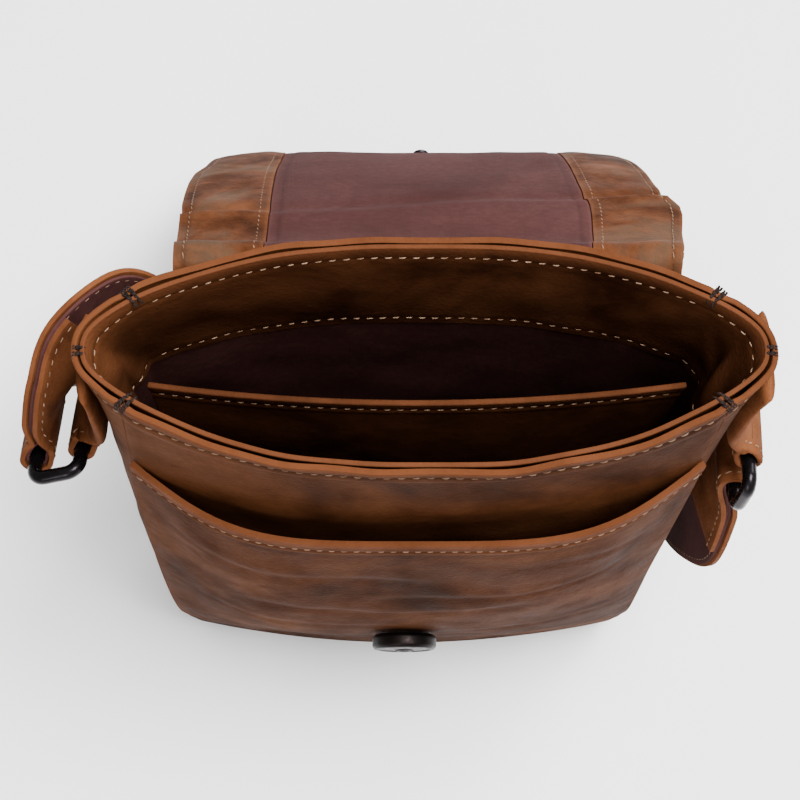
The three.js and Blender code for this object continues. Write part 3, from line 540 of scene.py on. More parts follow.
def leather(name, dark, middle, light, rubbed, grey=0.0, patch=20, smudge=0.3):
    """Oiled leather: slow patches of three tones, rubbed edges, fine grain and light scratches."""
    recipe = Recipe(name)
    patches = recipe.noise(patch, detail=5, roughness=0.6, distortion=0.6)
    tone = recipe.ramp(patches, [(0.37, dark), (0.49, middle), (0.62, light)])
    streaks = recipe.noise(30, detail=4, distortion=1.2, place=recipe.stretch((0.35, 0.6, 2.2)))
    tone = recipe.mix(recipe.ramp(streaks, [(0.5, 0.0), (0.7, 0.35)]), tone, light)
    smudges = recipe.noise(75, detail=6, roughness=0.7)
    tone = recipe.mix(recipe.ramp(smudges, [(0.38, smudge), (0.53, 0.0)]), tone, dark)
    if grey:
        dust = recipe.noise(34, detail=5, distortion=0.9)
        tone = recipe.mix(recipe.ramp(dust, [(0.5, 0.0), (0.64, grey)]), tone, DUST)
    ragged = recipe.ramp(smudges, [(0.25, 0.55), (0.6, 1.0)])
    tone = recipe.mix(recipe.times(recipe.attribute("wear"), ragged), tone, rubbed)
    # Painted shade: the leather turns deep brown where the "shade" value is high.
    tone = recipe.mix(recipe.attribute("shade"), tone, scaled(dark, 0.22))
    pores = recipe.node(
        "ShaderNodeTexVoronoi",
        settings={"feature": "SMOOTH_F1"},
        inputs={"Scale": 1150, "Smoothness": 0.7, "Vector": recipe.place},
    ).outputs["Distance"]
    grain = recipe.noise(620, detail=6, roughness=0.65)
    slant = recipe.stretch((0.4, 3.0, 1.0), (0.2, 0.5, 0.7))
    scratches = recipe.noise(190, detail=3, distortion=2.5, place=slant)
    normal = recipe.raise_by(pores, 0.00022, 0.5)
    normal = recipe.raise_by(grain, 0.0003, 0.6, normal)
    normal = recipe.raise_by(recipe.ramp(scratches, [(0.62, 0.0), (0.7, 1.0)]), 0.00008, 0.2, normal)
    normal = recipe.raise_by(patches, 0.0008, 0.25, normal)
    gloss = recipe.ramp(smudges, [(0.35, 0.75), (0.65, 0.58)])
    return recipe.finish(Base_Color=tone, Roughness=gloss, Normal=normal, Specular_IOR_Level=0.015)


# %% Cloth


def cloth(name, dark, light):
    """Close dark lining cloth with a fine weave and soft worn patches."""
    recipe = Recipe(name)
    patches = recipe.noise(26, detail=5, distortion=0.7)
    tone = recipe.ramp(patches, [(0.3, dark), (0.7, light)])
    fuzz = recipe.noise(420, detail=4, roughness=0.7)
    tone = recipe.mix(recipe.ramp(fuzz, [(0.4, 0.35), (0.65, 0.0)]), tone, scaled(dark, 0.6))
    tone = recipe.mix(recipe.attribute("wear"), tone, scaled(light, 1.35))
    # Painted shade: the cloth turns nearly black where the "shade" value is high.
    tone = recipe.mix(recipe.attribute("shade"), tone, scaled(dark, 0.18))
    weave = {"Scale": 420, "Distortion": 1.0, "Detail": 1}
    warp = recipe.wave("X", weave | {"Vector": recipe.stretch((1, 0.25, 0.1))})
    weft = recipe.wave("Z", weave)
    normal = recipe.raise_by(warp, 0.00005, 0.35)
    normal = recipe.raise_by(weft, 0.00005, 0.35, normal)
    normal = recipe.raise_by(fuzz, 0.00025, 0.6, normal)
    return recipe.finish(Base_Color=tone, Roughness=0.8, Normal=normal, Specular_IOR_Level=0.02)


# %% Metal and thread


def metal(name, tone, edge, roughness=0.24):
    """Dark plated metal: nearly black, with a violet bloom and faint handling marks."""
    recipe = Recipe(name)
    bloom = recipe.ramp(recipe.noise(85, detail=4), [(0.35, tone), (0.7, edge)])
    marks = recipe.noise(900, detail=5, roughness=0.7)
    gloss = recipe.ramp(marks, [(0.35, roughness * 0.8), (0.75, roughness * 1.5)])
    normal = recipe.raise_by(marks, 0.00004, 0.3)
    return recipe.finish(
        Base_Color=bloom, Metallic=0.85, Roughness=gloss, Normal=normal, Specular_IOR_Level=0.1
    )


def thread(name, dark, light):
    """Waxed linen thread with a tight twist."""
    recipe = Recipe(name)
    tone = recipe.ramp(recipe.noise(350, detail=3), [(0.35, dark), (0.65, light)])
    twist = recipe.wave("DIAGONAL", {"Scale": 700})
    return recipe.finish(
        Base_Color=tone, Roughness=0.75, Normal=recipe.raise_by(twist, 0.00012, 0.6), Specular_IOR_Level=0.1
    )


# %% The finishes of this bag
BODY_LEATHER = leather(
    "body_leather", (0.0155, 0.0049, 0.0018), (0.0355, 0.0114, 0.0041), (0.059, 0.0202, 0.0072),
    (0.088, 0.0288, 0.011),
)
BAND_LEATHER = leather(
    "band_leather", (0.035, 0.011, 0.0042), (0.085, 0.028, 0.0105), (0.12, 0.042, 0.016),
    (0.13, 0.043, 0.0165), patch=30,
)
FLAP_LEATHER = leather(
    "flap_border_leather", (0.02, 0.0065, 0.0026), (0.062, 0.02, 0.0074), (0.1, 0.035, 0.0135),
    (0.12, 0.04, 0.0145), grey=0.6, patch=34, smudge=0.45,
)
INNER_LEATHER = leather(
    "facing_leather", (0.013, 0.004, 0.0016), (0.038, 0.0122, 0.0046), (0.061, 0.0207, 0.008),
    (0.083, 0.0276, 0.0113),
)
LINING_CLOTH = cloth("lining_cloth", (0.022, 0.0075, 0.0065), (0.045, 0.0165, 0.015))
FLAP_LINING_CLOTH = cloth("flap_lining_cloth", (0.034, 0.012, 0.011), (0.062, 0.024, 0.022))
GUNMETAL = metal("gunmetal", (0.007, 0.0062, 0.0068), (0.022, 0.018, 0.021))
SNAP_METAL = metal("snap_metal", (0.0045, 0.0036, 0.0036), (0.014, 0.0095, 0.009), roughness=0.42)
PALE_THREAD = thread("pale_thread", (0.11, 0.058, 0.032), (0.23, 0.145, 0.092))
DARK_THREAD = thread("dark_thread", (0.006, 0.0035, 0.003), (0.016, 0.008, 0.006))
print("materials:", len(bpy.data.materials))

# %% [markdown]
# ## Tools for sheets and stitches
#
# Almost every piece is a sheet of leather or cloth: two faces, a cut edge between them and a small
# round on each corner of the edge. Boxes could be bent into shape, but a grid of points with a
# solidify and a bevel modifier keeps the true thickness everywhere. A stitch could be painted, but
# close to it looks flat, so each is a short bead of thread that dips into the leather at both ends.

# %% Sheets
EDGE_ROUNDING = 0.45
SHARP_ANGLE = 62


def ripple(points, seed, size, waves=7):
    """A soft random waver between about -1 and 1 at each point, the same on every run."""
    draw = np.random.default_rng(seed)
    total = np.zeros(points.shape[:-1])
    for _ in range(waves):
        way = unit(draw.normal(size=3)) * 2 * math.pi / (size * draw.uniform(0.7, 1.6))
        total = total + np.sin(points @ way + draw.uniform(0, 2 * math.pi))
    return total / math.sqrt(waves)


def grid_normals(points, wrap=False):
    """Surface normals of a grid: rows up the sheet crossed with columns across it."""
    down = np.gradient(points, axis=0)
    if wrap:
        padded = np.concatenate([points[:, -1:], points, points[:, :1]], axis=1)
        over = np.gradient(padded, axis=1)[:, 1:-1]
    else:
        over = np.gradient(points, axis=1)
    return unit(np.cross(over, down))


def grid_faces(rows, columns, wrap):
    last = columns if wrap else columns - 1
    row, column = np.meshgrid(np.arange(rows - 1), np.arange(last), indexing="ij")
    row, column = row.ravel(), column.ravel()
    this_row, next_row = row * columns, (row + 1) * columns
    nearby = (column + 1) % columns
    return np.stack([this_row + column, this_row + nearby, next_row + nearby, next_row + column], axis=1)


def new_object(name, points, faces, finish, values=None):
    mesh = bpy.data.meshes.new(name)
    mesh.from_pydata((points * MM).tolist(), [], [list(face) for face in faces])
    for key, value in (values or {}).items():
        layer = mesh.attributes.new(key, "FLOAT", "POINT")
        layer.data.foreach_set("value", np.asarray(value, np.float32).ravel())
    mesh.materials.append(finish)
    mesh.validate()
    piece = bpy.data.objects.new(name, mesh)
    bpy.context.collection.objects.link(piece)
    return piece


def apply_modifiers(piece):
    shaped = bpy.data.meshes.new_from_object(piece.evaluated_get(bpy.context.evaluated_depsgraph_get()))
    piece.modifiers.clear()
    old = piece.data
    piece.data = shaped
    bpy.data.meshes.remove(old)
    shaped.name = piece.name


def shade_smooth(piece):
    piece.data.polygons.foreach_set("use_smooth", [True] * len(piece.data.polygons))
    piece.data.update()


def seat(piece, slot, *nodes):
    """The piece goes with the bag and stands for its solids; its slot is not used."""
    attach(piece, "root")
    if nodes:
        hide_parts(*nodes)
    print(piece.name, "with", len(piece.data.polygons), "faces")


def smooth_piece(name, points, faces, finish, slot, *nodes, values=None):
    """A piece made whole from its points and faces, shaded smooth and seated."""
    piece = new_object(name, points.reshape(-1, 3), faces, finish, values)
    shade_smooth(piece)
    seat(piece, slot, *nodes)


def sheet(name, points, thickness, finish, wrap=False, wear=0.0, shade=0.0, flipped=False):
    """A sheet over a grid of points, with its thickness laid inwards from those points."""
    rows, columns = points.shape[:2]
    wear, shade = np.broadcast_to(wear, (rows, columns)), np.broadcast_to(shade, (rows, columns))
    faces = grid_faces(rows, columns, wrap)
    if flipped:
        faces = faces[:, ::-1]
    piece = new_object(name, points.reshape(-1, 3), faces, finish, {"wear": wear, "shade": shade})
    solid = piece.modifiers.new("thickness", "SOLIDIFY")
    solid.thickness = thickness * MM
    solid.offset = -1
    solid.use_even_offset = False
    bevel = piece.modifiers.new("rounding", "BEVEL")
    bevel.width = thickness * EDGE_ROUNDING * MM
    bevel.segments = 3
    bevel.limit_method = "ANGLE"
    bevel.angle_limit = math.radians(SHARP_ANGLE)
    apply_modifiers(piece)
    shade_smooth(piece)
    return piece


# %% Stitches
STITCH_SIDES = 6
STITCH_RINGS = 5


def stitch_line(points, outwards, pitch):
    """Even places along a line, each with its way along and its way out of the leather."""
    steps = np.linalg.norm(np.diff(points, axis=0), axis=1)
    travelled = np.concatenate([[0], np.cumsum(steps)])
    places = np.arange(pitch / 2, travelled[-1], pitch)
    along = np.gradient(points, axis=0)

    def at(values):
        return np.stack([np.interp(places, travelled, values[:, axis]) for axis in range(3)], axis=1)

    return at(points), unit(at(along)), unit(at(outwards))


def stitches(name, lines, finish, pitch=3.3, length=2.0, radius=0.19, lift=0.03, lean=0.16):
    """All the stitches of one or more lines as a single mesh of short beads of thread."""
    steps = np.linspace(-1, 1, STITCH_RINGS)
    angles = np.arange(STITCH_SIDES) / STITCH_SIDES * 2 * math.pi
    girth = np.sqrt(np.clip(1 - (steps * 0.93) ** 4, 0, 1))
    dip = lift - (radius * 1.3) * steps**4
    ring_along = np.repeat(steps * length / 2, STITCH_SIDES)
    ring_side = (girth[:, None] * radius * np.cos(angles)).ravel()
    ring_out = (dip[:, None] + girth[:, None] * radius * np.sin(angles)).ravel()
    template = grid_faces(STITCH_RINGS, STITCH_SIDES, True).tolist()
    template.append(list(range(STITCH_SIDES))[::-1])
    template.append([(STITCH_RINGS - 1) * STITCH_SIDES + side for side in range(STITCH_SIDES)])
    count = STITCH_RINGS * STITCH_SIDES
    all_points, all_faces, start = [], [], 0
    for points, outwards in lines:
        centres, along, out = stitch_line(points, outwards, pitch)
        side = unit(np.cross(out, along))
        along = unit(along + side * lean)
        side = unit(np.cross(out, along))
        made = (
            centres[:, None]
            + along[:, None] * ring_along[None, :, None]
            + side[:, None] * ring_side[None, :, None]
            + out[:, None] * ring_out[None, :, None]
        )
        all_points.append(made.reshape(-1, 3))
        for index in range(len(centres)):
            all_faces.extend([[start + index * count + corner for corner in face] for face in template])
        start += len(centres) * count
    smooth_piece(name, np.concatenate(all_points), all_faces, finish, "lining")
    print(name, start // count, "stitches")


# %% [markdown]
# ## Outer panels
#
# Four panels of leather stand on their feet and meet at four seams. The top 8 mm is turned in and
# sewn, so it stands a little proud and its stitch row lies in a shallow groove. Real folds could be
# modelled inside that edge, but nobody sees them. One sheet for each panel, with rows of points
# close together near the top, is enough to raise the edge and press the groove.

# %% Panels and gussets
TURNED_EDGE = 8
TURNED_PROUD = 0.35
STITCH_DROP = 4.6
GUSSET_HALF = 18
WALL_HEIGHTS = np.concatenate([np.linspace(0, 12, 14), np.linspace(14, 196, 92), np.linspace(197, 220, 47)])


def turned_edge(drop):
    """How far the turned edge stands proud, with the groove that its stitches pull in."""
    proud = TURNED_PROUD * (1 - smooth(drop, TURNED_EDGE - 1.5, TURNED_EDGE + 1))
    return proud - 0.38 * bump(drop, STITCH_DROP, 0.9) + 0.2 * bump(drop, 1.4, 1.3)


def uneven_edge(points, drop):
    """A hand-turned edge is never quite straight: it wavers in and out near the top."""
    return bump(drop, 0, 6) * (0.28 * ripple(points, 5, 26) + 0.16 * ripple(points, 6, 11))


def wall_piece(wall, node, half, columns):
    across = np.linspace(-1, 1, columns)[None, :]
    height = WALL_HEIGHTS[:, None]
    drop = BAG_HEIGHT - height
    from_seam = half * (1 - np.abs(across))
    plain = body_point(wall, across, height)
    points = body_point(wall, across * (1 - CLEARANCE / 2 / half), height)
    rise = turned_edge(drop) - TURNED_PROUD + uneven_edge(plain, drop)
    seam_pull = -0.5 * (1 - smooth(from_seam, 0.0, 3.0))
    waver = 0.35 * ripple(plain, 3, 60) + 0.18 * ripple(plain, 4, 22)
    quiet = smooth(drop, 0, 30) * smooth(height, 2, 25) * smooth(from_seam, 0, 9)
    points = points + grid_normals(plain) * (rise + seam_pull + waver * quiet)[..., None]
    wear = 0.9 * bump(drop, 0.4, 1.7) + 0.2 * bump(drop, 7.4, 1.4) + 0.3 * (1 - smooth(from_seam, 0, 2.2))
    shade = 0.55 * bump(drop, STITCH_DROP, 0.5)
    piece = sheet(wall + "_leather", points, LEATHER, BODY_LEATHER, wear=wear, shade=shade)
    seat(piece, "outer_leather", node)


wall_piece("front", "front_panel", SEAM_REACH, 100)
wall_piece("right", "right_gusset", GUSSET_HALF, 52)
wall_piece("back", "back_panel", SEAM_REACH, 100)
wall_piece("left", "left_gusset", GUSSET_HALF, 52)

# %% [markdown]
# ## Base
#
# The base is a plain strip of the same leather between the feet of the four walls. A flat face
# would do, but from below it should still show the bowed outline of the feet, so it is a sheet too.

# %% Base


def base_piece():
    across = np.linspace(-1, 1, 60)
    size = level_sizes(0.0, 0)
    crown = 1 - np.abs(across) ** FOOT_BOW_POWER
    front = -size["front_seam"] - (size["front"] - size["front_seam"]) * crown + LEATHER + CLEARANCE
    back = size["back_seam"] + (size["back"] - size["back_seam"]) * crown - LEATHER - CLEARANCE
    share = np.linspace(0, 1, 12)[:, None]
    x = size["lean"] + (size["seam"] - CLEARANCE) * across
    points = stack(x[None, :], back + (front - back) * share, 0.0)
    piece = sheet("base_leather", points, LEATHER, BODY_LEATHER)
    seat(piece, "outer_leather", "base_panel")


base_piece()

# %% [markdown]
# ## Facing and lining
#
# Inside the mouth hangs a 43 mm band of leather, whose turned top edge lies beside the outer one.
# Four strips could stand for it, but the real one is a loop, and a closed grid lets its edge run
# unbroken past the seams. In the narrow gussets it has more length than room, and so it buckles in
# slanting folds. Below it hangs the cloth lining, one cup that follows the walls and the floor.

# %% Mouth facing and body lining
LOOP_WALLS = (("front", 90), ("right", 44), ("back", 90), ("left", 44))


def body_loop(heights, inset):
    rows = []
    for wall, columns in LOOP_WALLS:
        across = np.linspace(-1, 1, columns + 1)[:-1]
        rows.append(body_point(wall, across[None, :], np.asarray(heights, float)[:, None], inset))
    return np.concatenate(rows, axis=1)


FOLD_DEPTH = 1.9
HEM_ROW = 3.4


def gusset_folds(points, drop):
    """The facing is too long for the narrow gussets, so it buckles there in slanting folds."""
    beside = smooth(np.abs(points[..., 0] - BODY_LEAN * 0.3), SEAM_REACH - 6, SEAM_REACH + 5)
    depth = smooth(drop, 7, 24)
    place = points[..., 1] + 0.35 * drop * np.sign(points[..., 0])
    ridges = bump(place, -4, 3.2) + 0.8 * bump(place, 9, 2.8) + 0.5 * bump(place, 18, 2.4)
    hollows = bump(place, 2.5, 2.6) + 0.8 * bump(place, 14, 2.2) + 0.5 * bump(place, -10, 3)
    return FOLD_DEPTH * ridges * beside * depth, hollows * beside * depth


def facing_inwards(points, drop):
    """How far the facing stands in from its plain loop, with the folds and hollows of its gussets."""
    from_foot = FACING_HEIGHT - drop
    hem = 0.35 * (1 - smooth(from_foot, 5.5, 8)) - 0.3 * bump(from_foot, HEM_ROW, 0.8)
    waver = 0.3 * ripple(points, 11, 34) + 0.15 * ripple(points, 12, 14)
    folds, hollows = gusset_folds(points, drop)
    inwards = 0.35 + 0.3 * (hem + turned_edge(drop)) + waver * smooth(drop, 4, 18) + folds
    inwards = inwards - 0.4 * uneven_edge(points, drop) - 0.65 * bump(drop, 0, 3.5)
    return inwards, folds, hollows


def facing_piece():
    foot = BAG_HEIGHT - FACING_HEIGHT
    heights = np.concatenate(
        [np.linspace(foot, foot + 8, 17), np.linspace(foot + 9, 211, 26), np.linspace(211.5, 220, 18)]
    )
    points = body_loop(heights, LEATHER + LAYER_GAP)
    normal = grid_normals(points, wrap=True)
    drop = BAG_HEIGHT - heights[:, None]
    inwards, folds, hollows = facing_inwards(points, drop)
    points = points - normal * inwards[..., None]
    wear = 0.9 * bump(drop, 0.4, 1.6) + 0.3 * bump(drop, FACING_HEIGHT, 1.5) + 0.25 * folds / FOLD_DEPTH
    shade = 0.5 * bump(drop, STITCH_DROP, 0.5) + 0.3 * smooth(drop, 6, FACING_HEIGHT) + 0.45 * hollows
    shade = np.clip(shade, 0, 1)
    piece = sheet("facing_loop", points, LINING, INNER_LEATHER, wrap=True, wear=wear, shade=shade)
    seat(piece, "facing_leather", "mouth_facing")


def lining_piece():
    top = BAG_HEIGHT - FACING_HEIGHT + 1.5
    inset = LEATHER + LAYER_GAP + 0.25
    heights = np.concatenate([np.linspace(inset, 12, 12), np.linspace(15, top, 42)])
    walls = body_loop(heights, inset)
    middle = walls[0].mean(axis=0)
    floor = [middle + (walls[0] - middle) * share for share in (0.02, 0.25, 0.5, 0.75, 0.92)]
    points = np.concatenate([np.stack(floor), walls])
    normal = grid_normals(points, wrap=True)
    height = points[..., 2]
    waver = 0.9 * ripple(points, 21, 45) + 0.35 * ripple(points, 22, 16)
    quiet = smooth(height, 6, 30) * smooth(top - height, 1, 25)
    points = points - normal * (0.4 * (1 + waver) * quiet)[..., None]
    shade = 0.75 * (1 - smooth(height, 60, top + 30))
    piece = sheet("lining_cup", points, LINING * 0.7, LINING_CLOTH, wrap=True, shade=shade)
    seat(piece, "lining", "body_lining")


facing_piece()
lining_piece()

# %% [markdown]
# ## Divider
#
# A double sheet parts the inside in two. Its faces are thin leather and its top is hemmed and sewn.
# A straight board would look wrong beside soft walls, so the sheet bows forwards and wavers.

# %% Divider
DIVIDER_SIDE_SHARE = 0.55
DIVIDER_STITCH_DROP = 4.2


def divider_points(across, height, offset):
    inset = LEATHER + LAYER_GAP + LINING + CLEARANCE
    size = level_sizes(height, inset)
    place = DIVIDER_PLACE - DIVIDER_BOW * (1 - across * across) * (height / DIVIDER_HEIGHT)
    half = size["seam"] + (size["side"] - size["seam"]) * DIVIDER_SIDE_SHARE - size["pleat"]
    return stack(size["lean"] + half * across, place + offset, height)


def divider_piece():
    foot = LEATHER + LAYER_GAP + LINING + CLEARANCE
    height = np.concatenate([np.linspace(foot, 174, 60), np.linspace(175, DIVIDER_HEIGHT, 23)])[:, None]
    across = np.linspace(-1, 1, 90)[None, :]
    points = divider_points(across, height, -DIVIDER_THICKNESS / 2)
    drop = DIVIDER_HEIGHT - height
    waver = 0.8 * ripple(points, 31, 50) * smooth(drop, 0, 30) * (1 - across**2)
    groove = 0.3 * bump(drop, DIVIDER_STITCH_DROP, 0.8)
    points[..., 1] += 0.4 * waver + groove - 0.2 * (1 - smooth(drop, 6, 8))
    wear = 0.5 * bump(drop, 0, 1.6)
    shade = 0.5 * smooth(drop, 5, 70)
    piece = sheet("divider_sheet", points, DIVIDER_THICKNESS, INNER_LEATHER, wear=wear, shade=shade)
    seat(piece, "lining", "divider")


divider_piece()

# %% [markdown]
# ## Front pocket
#
# The pocket's face runs from seam to seam over the front panel. Its hem is turned outwards, so a
# paler band of rubbed leather follows the edge. Cloth simulation could wrinkle the wide face, but
# the creases lie where years of folding put them, so each is written down as a furrow.

# %% Front pocket
HEM_STITCH_DROP = 4.8
POCKET_SHARES = np.concatenate(
    [np.linspace(0, 0.07, 12), np.linspace(0.08, 0.93, 100), np.linspace(0.934, 1, 34)]
)

# Soft creases across the pocket's face, in mm, each between two places across it.
POCKET_CREASES = table_rows("height bend width depth start end", [
    (148, 10, 3.2, 0.55, -0.9, 0.2),
    (132, 6, 2.6, 0.5, -0.2, 0.9),
    (118, 4, 3.6, 0.7, -0.75, 0.55),
    (98, 2, 2.8, 0.45, -0.9, 0.1),
    (84, -3, 3.4, 0.5, 0.1, 0.95),
    (160, -6, 2.4, 0.35, 0.3, 0.95),
])


def pocket_piece():
    across = np.linspace(-1, 1, 140)[None, :]
    height = pocket_hem(across) * POCKET_SHARES[:, None]
    points = pocket_point(across, height)
    normal = grid_normals(points)
    drop = pocket_hem(across) - height
    rise = 0.45 * (1 - smooth(drop, 6, 8)) - 0.32 * bump(drop, HEM_STITCH_DROP, 0.8) - 0.45
    for crease in POCKET_CREASES:
        line = crease["height"] + crease["bend"] * across**2 + 1.2 * np.sin(9 * across + crease["height"])
        reach = smooth(across, crease["start"], crease["start"] + 0.3)
        reach = reach * (1 - smooth(across, crease["end"] - 0.3, crease["end"]))
        furrow = bump(height, line, crease["width"]) - 0.6 * bump(height, line + 5, crease["width"] * 1.4)
        rise = rise - crease["depth"] * furrow * reach
    quiet = smooth(drop, 5, 28) * smooth(height, 2, 24) * smooth(1 - np.abs(across), 0, 0.14)
    rise = rise + (0.55 * ripple(points, 41, 62) + 0.2 * ripple(points, 42, 24)) * quiet
    from_seam = SEAM_REACH * (1 - np.abs(across))
    seam_pull = -0.6 * (1 - smooth(from_seam, 0, 3.5))
    points = points + normal * (rise + seam_pull)[..., None]
    wear = 0.95 * bump(drop, 0, 2.0) + 0.35 * (1 - smooth(drop, 5.5, 8))
    wear = wear + 0.3 * (1 - smooth(from_seam, 0, 2.5))
    shade = 0.5 * bump(drop, HEM_STITCH_DROP, 0.5) + 0.22 * bump(drop, 9.5, 1.6)
    piece = sheet("pocket_face", points, LEATHER, BODY_LEATHER, wear=np.clip(wear, 0, 1), shade=shade)
    seat(piece, "outer_leather", "front_pocket")


pocket_piece()

# %% [markdown]
# ## Flap
#
# The flap's outside is one sheet of leather. On its inside a cloth lining fills the middle, and
# strips of leather cover both sides and the free end, where most hands take hold of it. It could
# be bent with a lattice, but all five layers have to bend as one, so each reads the same points
# and stands a little further out.

# %% The flap's grid, outline and fold


def flap_grid(acrosses, alongs, offset):
    across, along = np.meshgrid(acrosses, alongs)
    place = along * np.where(alongs.max() >= 1, flap_end(across), 1.0)
    points = flap_point(across, place)
    points[..., 0] += border_swell(across, place)
    return across, place, points + flap_normal(across, place) * (offset + flap_fold(across, place))[..., None]


# How far each border stands out from the plain outline, in mm, at each place along the flap.
BORDER_SWELL = {
    "left": [
        (0, 0), (0.44, 0), (0.5, 0.8), (0.56, 1.3), (0.64, 1.4), (0.7, 0.9), (0.75, -1.4), (0.83, -2.4),
        (1, -1.5),
    ],
    "right": [
        (0, 0), (0.4, 0.4), (0.46, 1.6), (0.49, 1.5), (0.505, 0.3), (0.52, -1.3), (0.6, -2.0), (0.7, -1.8),
        (0.76, -2.3), (0.84, -3.6), (1, -2),
    ],
}


def border_swell(across, along):
    """Sideways shift that bends the plain outline into its soft, handled shape."""
    left = np.interp(along, *zip(*BORDER_SWELL["left"])) * np.clip(-across, 0, 1) ** 3
    right = np.interp(along, *zip(*BORDER_SWELL["right"])) * np.clip(across, 0, 1) ** 3
    return right - left


def flap_fold(across, along):
    """The fold across the flap, where it bends over its own weight: a ridge with a sharp far side."""
    line = 0.481 + 0.044 * across + 0.006 * np.sin(5 * across + 1)
    past = (along - line) * FLAP_LENGTH
    ridge = 2.3 * np.exp(-np.maximum(-past, 0) / 11) * (1 - smooth(past, 0, 6.5))
    strength = 0.3 + 0.7 * smooth(np.abs(across), 0.5, 0.9)
    return (ridge - 0.8 * bump(past, 8, 3.5) + 0.5 * bump(past, 17, 6)) * strength


# %% Flap and its inside


def flap_leather():
    across, along, points = flap_grid(np.linspace(-1, 1, 110), np.linspace(0, 1, 170), -CLEARANCE)
    edge = np.minimum(FLAP_WIDTH / 2 * (1 - np.abs(across)), (flap_end(across) - along) * FLAP_LENGTH)
    wear = 0.9 * (1 - smooth(edge, 0, 2))
    piece = sheet("flap_outside", points, LEATHER * 0.85, BODY_LEATHER, wear=wear)
    seat(piece, "outer_leather", "flap")


FLAP_SEAM = 1 - 2 * FLAP_FACING_WIDTH / FLAP_WIDTH
END_FACING = 1 - FLAP_END_FACING / FLAP_LENGTH
CLOTH_START = 0.06
FLAP_STITCH_INSET = 3


def flap_strip(name, node, left, right, start, end, thickness, finish, slot, columns, rows, sewn_side):
    """One piece of the flap's inside, raised a little towards its middle."""
    across, along, points = flap_grid(np.linspace(left, right, columns), np.linspace(start, end, rows), 0.0)
    out = flap_normal(across, along)
    from_left = FLAP_WIDTH / 2 * (across - left)
    from_right = FLAP_WIDTH / 2 * (right - across)
    from_end = ((end if end < 1 else flap_end(across)) - along) * FLAP_LENGTH
    edge = np.minimum(np.minimum(from_left, from_right), from_end)
    waver = 0.75 * ripple(points, 51, 55) + 0.35 * ripple(points, 52, 20)
    rise = 0.25 + thickness + 0.25 * smooth(edge, 0, 5) + 0.3 * waver * smooth(edge, 0, 8)
    sewn = {"left": from_left, "right": from_right, "both": np.minimum(from_left, from_right)}[sewn_side]
    rise = rise - 0.22 * bump(sewn, FLAP_STITCH_INSET, 0.7)
    points = points + out * rise[..., None]
    wear = 0.55 * (1 - smooth(edge, 0, 1.6))
    shade = 0.35 * bump(sewn, FLAP_STITCH_INSET, 0.45)
    seat(sheet(name, points, thickness * 0.9, finish, wear=wear, shade=shade), slot, node)


def flap_inside():
    seam = FLAP_SEAM
    gap = 0.35 / FLAP_WIDTH
    cloth = (FLAP_CLOTH, FLAP_LINING_CLOTH, "lining")
    border = (FACING_LEATHER, FLAP_LEATHER, "facing_leather")
    start, end = CLOTH_START, END_FACING
    flap_strip("flap_lining_sheet", "flap_lining", -seam, seam, start, end, *cloth, 90, 130, "both")
    flap_strip("flap_border_left", "flap_facing_left", -1, -seam - gap, start, 1, *border, 40, 170, "left")
    flap_strip("flap_border_right", "flap_facing_right", seam + gap, 1, start, 1, *border, 40, 170, "right")
    flap_strip("flap_border_end", "flap_facing_end", -seam, seam, end + gap, 1, *border, 90, 40, "both")


flap_leather()
flap_inside()

# %% [markdown]
# ## Snap fastener
#
# The socket on the pocket is a thick dark metal disc with a rolled rim and a small eye in its middle.
# Its stud sits near the free end of the flap. Both are pressed round parts, so a profile spun
# round an axis gives them exactly, where a scaled cylinder would have hard and lifeless corners.

# %% Snap fastener
LATHE_SIDES = 72


def soft_profile(corners, radius=0.35, steps=4):
    """A profile whose corners are rounded, from a short list of radius and height pairs."""
    corners = np.array(corners, float)
    made = [corners[0]]
    for before, corner, after in zip(corners[:-2], corners[1:-1], corners[2:]):
        inwards, onwards = before - corner, after - corner
        near = min(radius, np.linalg.norm(inwards) / 2, np.linalg.norm(onwards) / 2)
        start = corner + unit(inwards) * near
        end = corner + unit(onwards) * near
        for share in np.linspace(0, 1, steps):
            made.append((1 - share) ** 2 * start + 2 * share * (1 - share) * corner + share**2 * end)
    made.append(corners[-1])
    return made


def turned(name, node, profile, place, direction, finish):
    """A piece turned on a lathe: its profile spun round an axis set on the leather."""
    radius, height = np.array(soft_profile(profile)).T[:, :, None, None]
    direction = unit(np.array(direction, float))
    first = unit(np.cross(direction, [1.0, 0, 0]))
    second = np.cross(direction, first)
    angles = np.arange(LATHE_SIDES) / LATHE_SIDES * 2 * math.pi
    ring = np.cos(angles)[:, None] * first + np.sin(angles)[:, None] * second
    points = radius * ring[None] + height * direction + np.array(place)
    smooth_piece(name, points, grid_faces(len(radius), LATHE_SIDES, True), finish, "gunmetal", node)


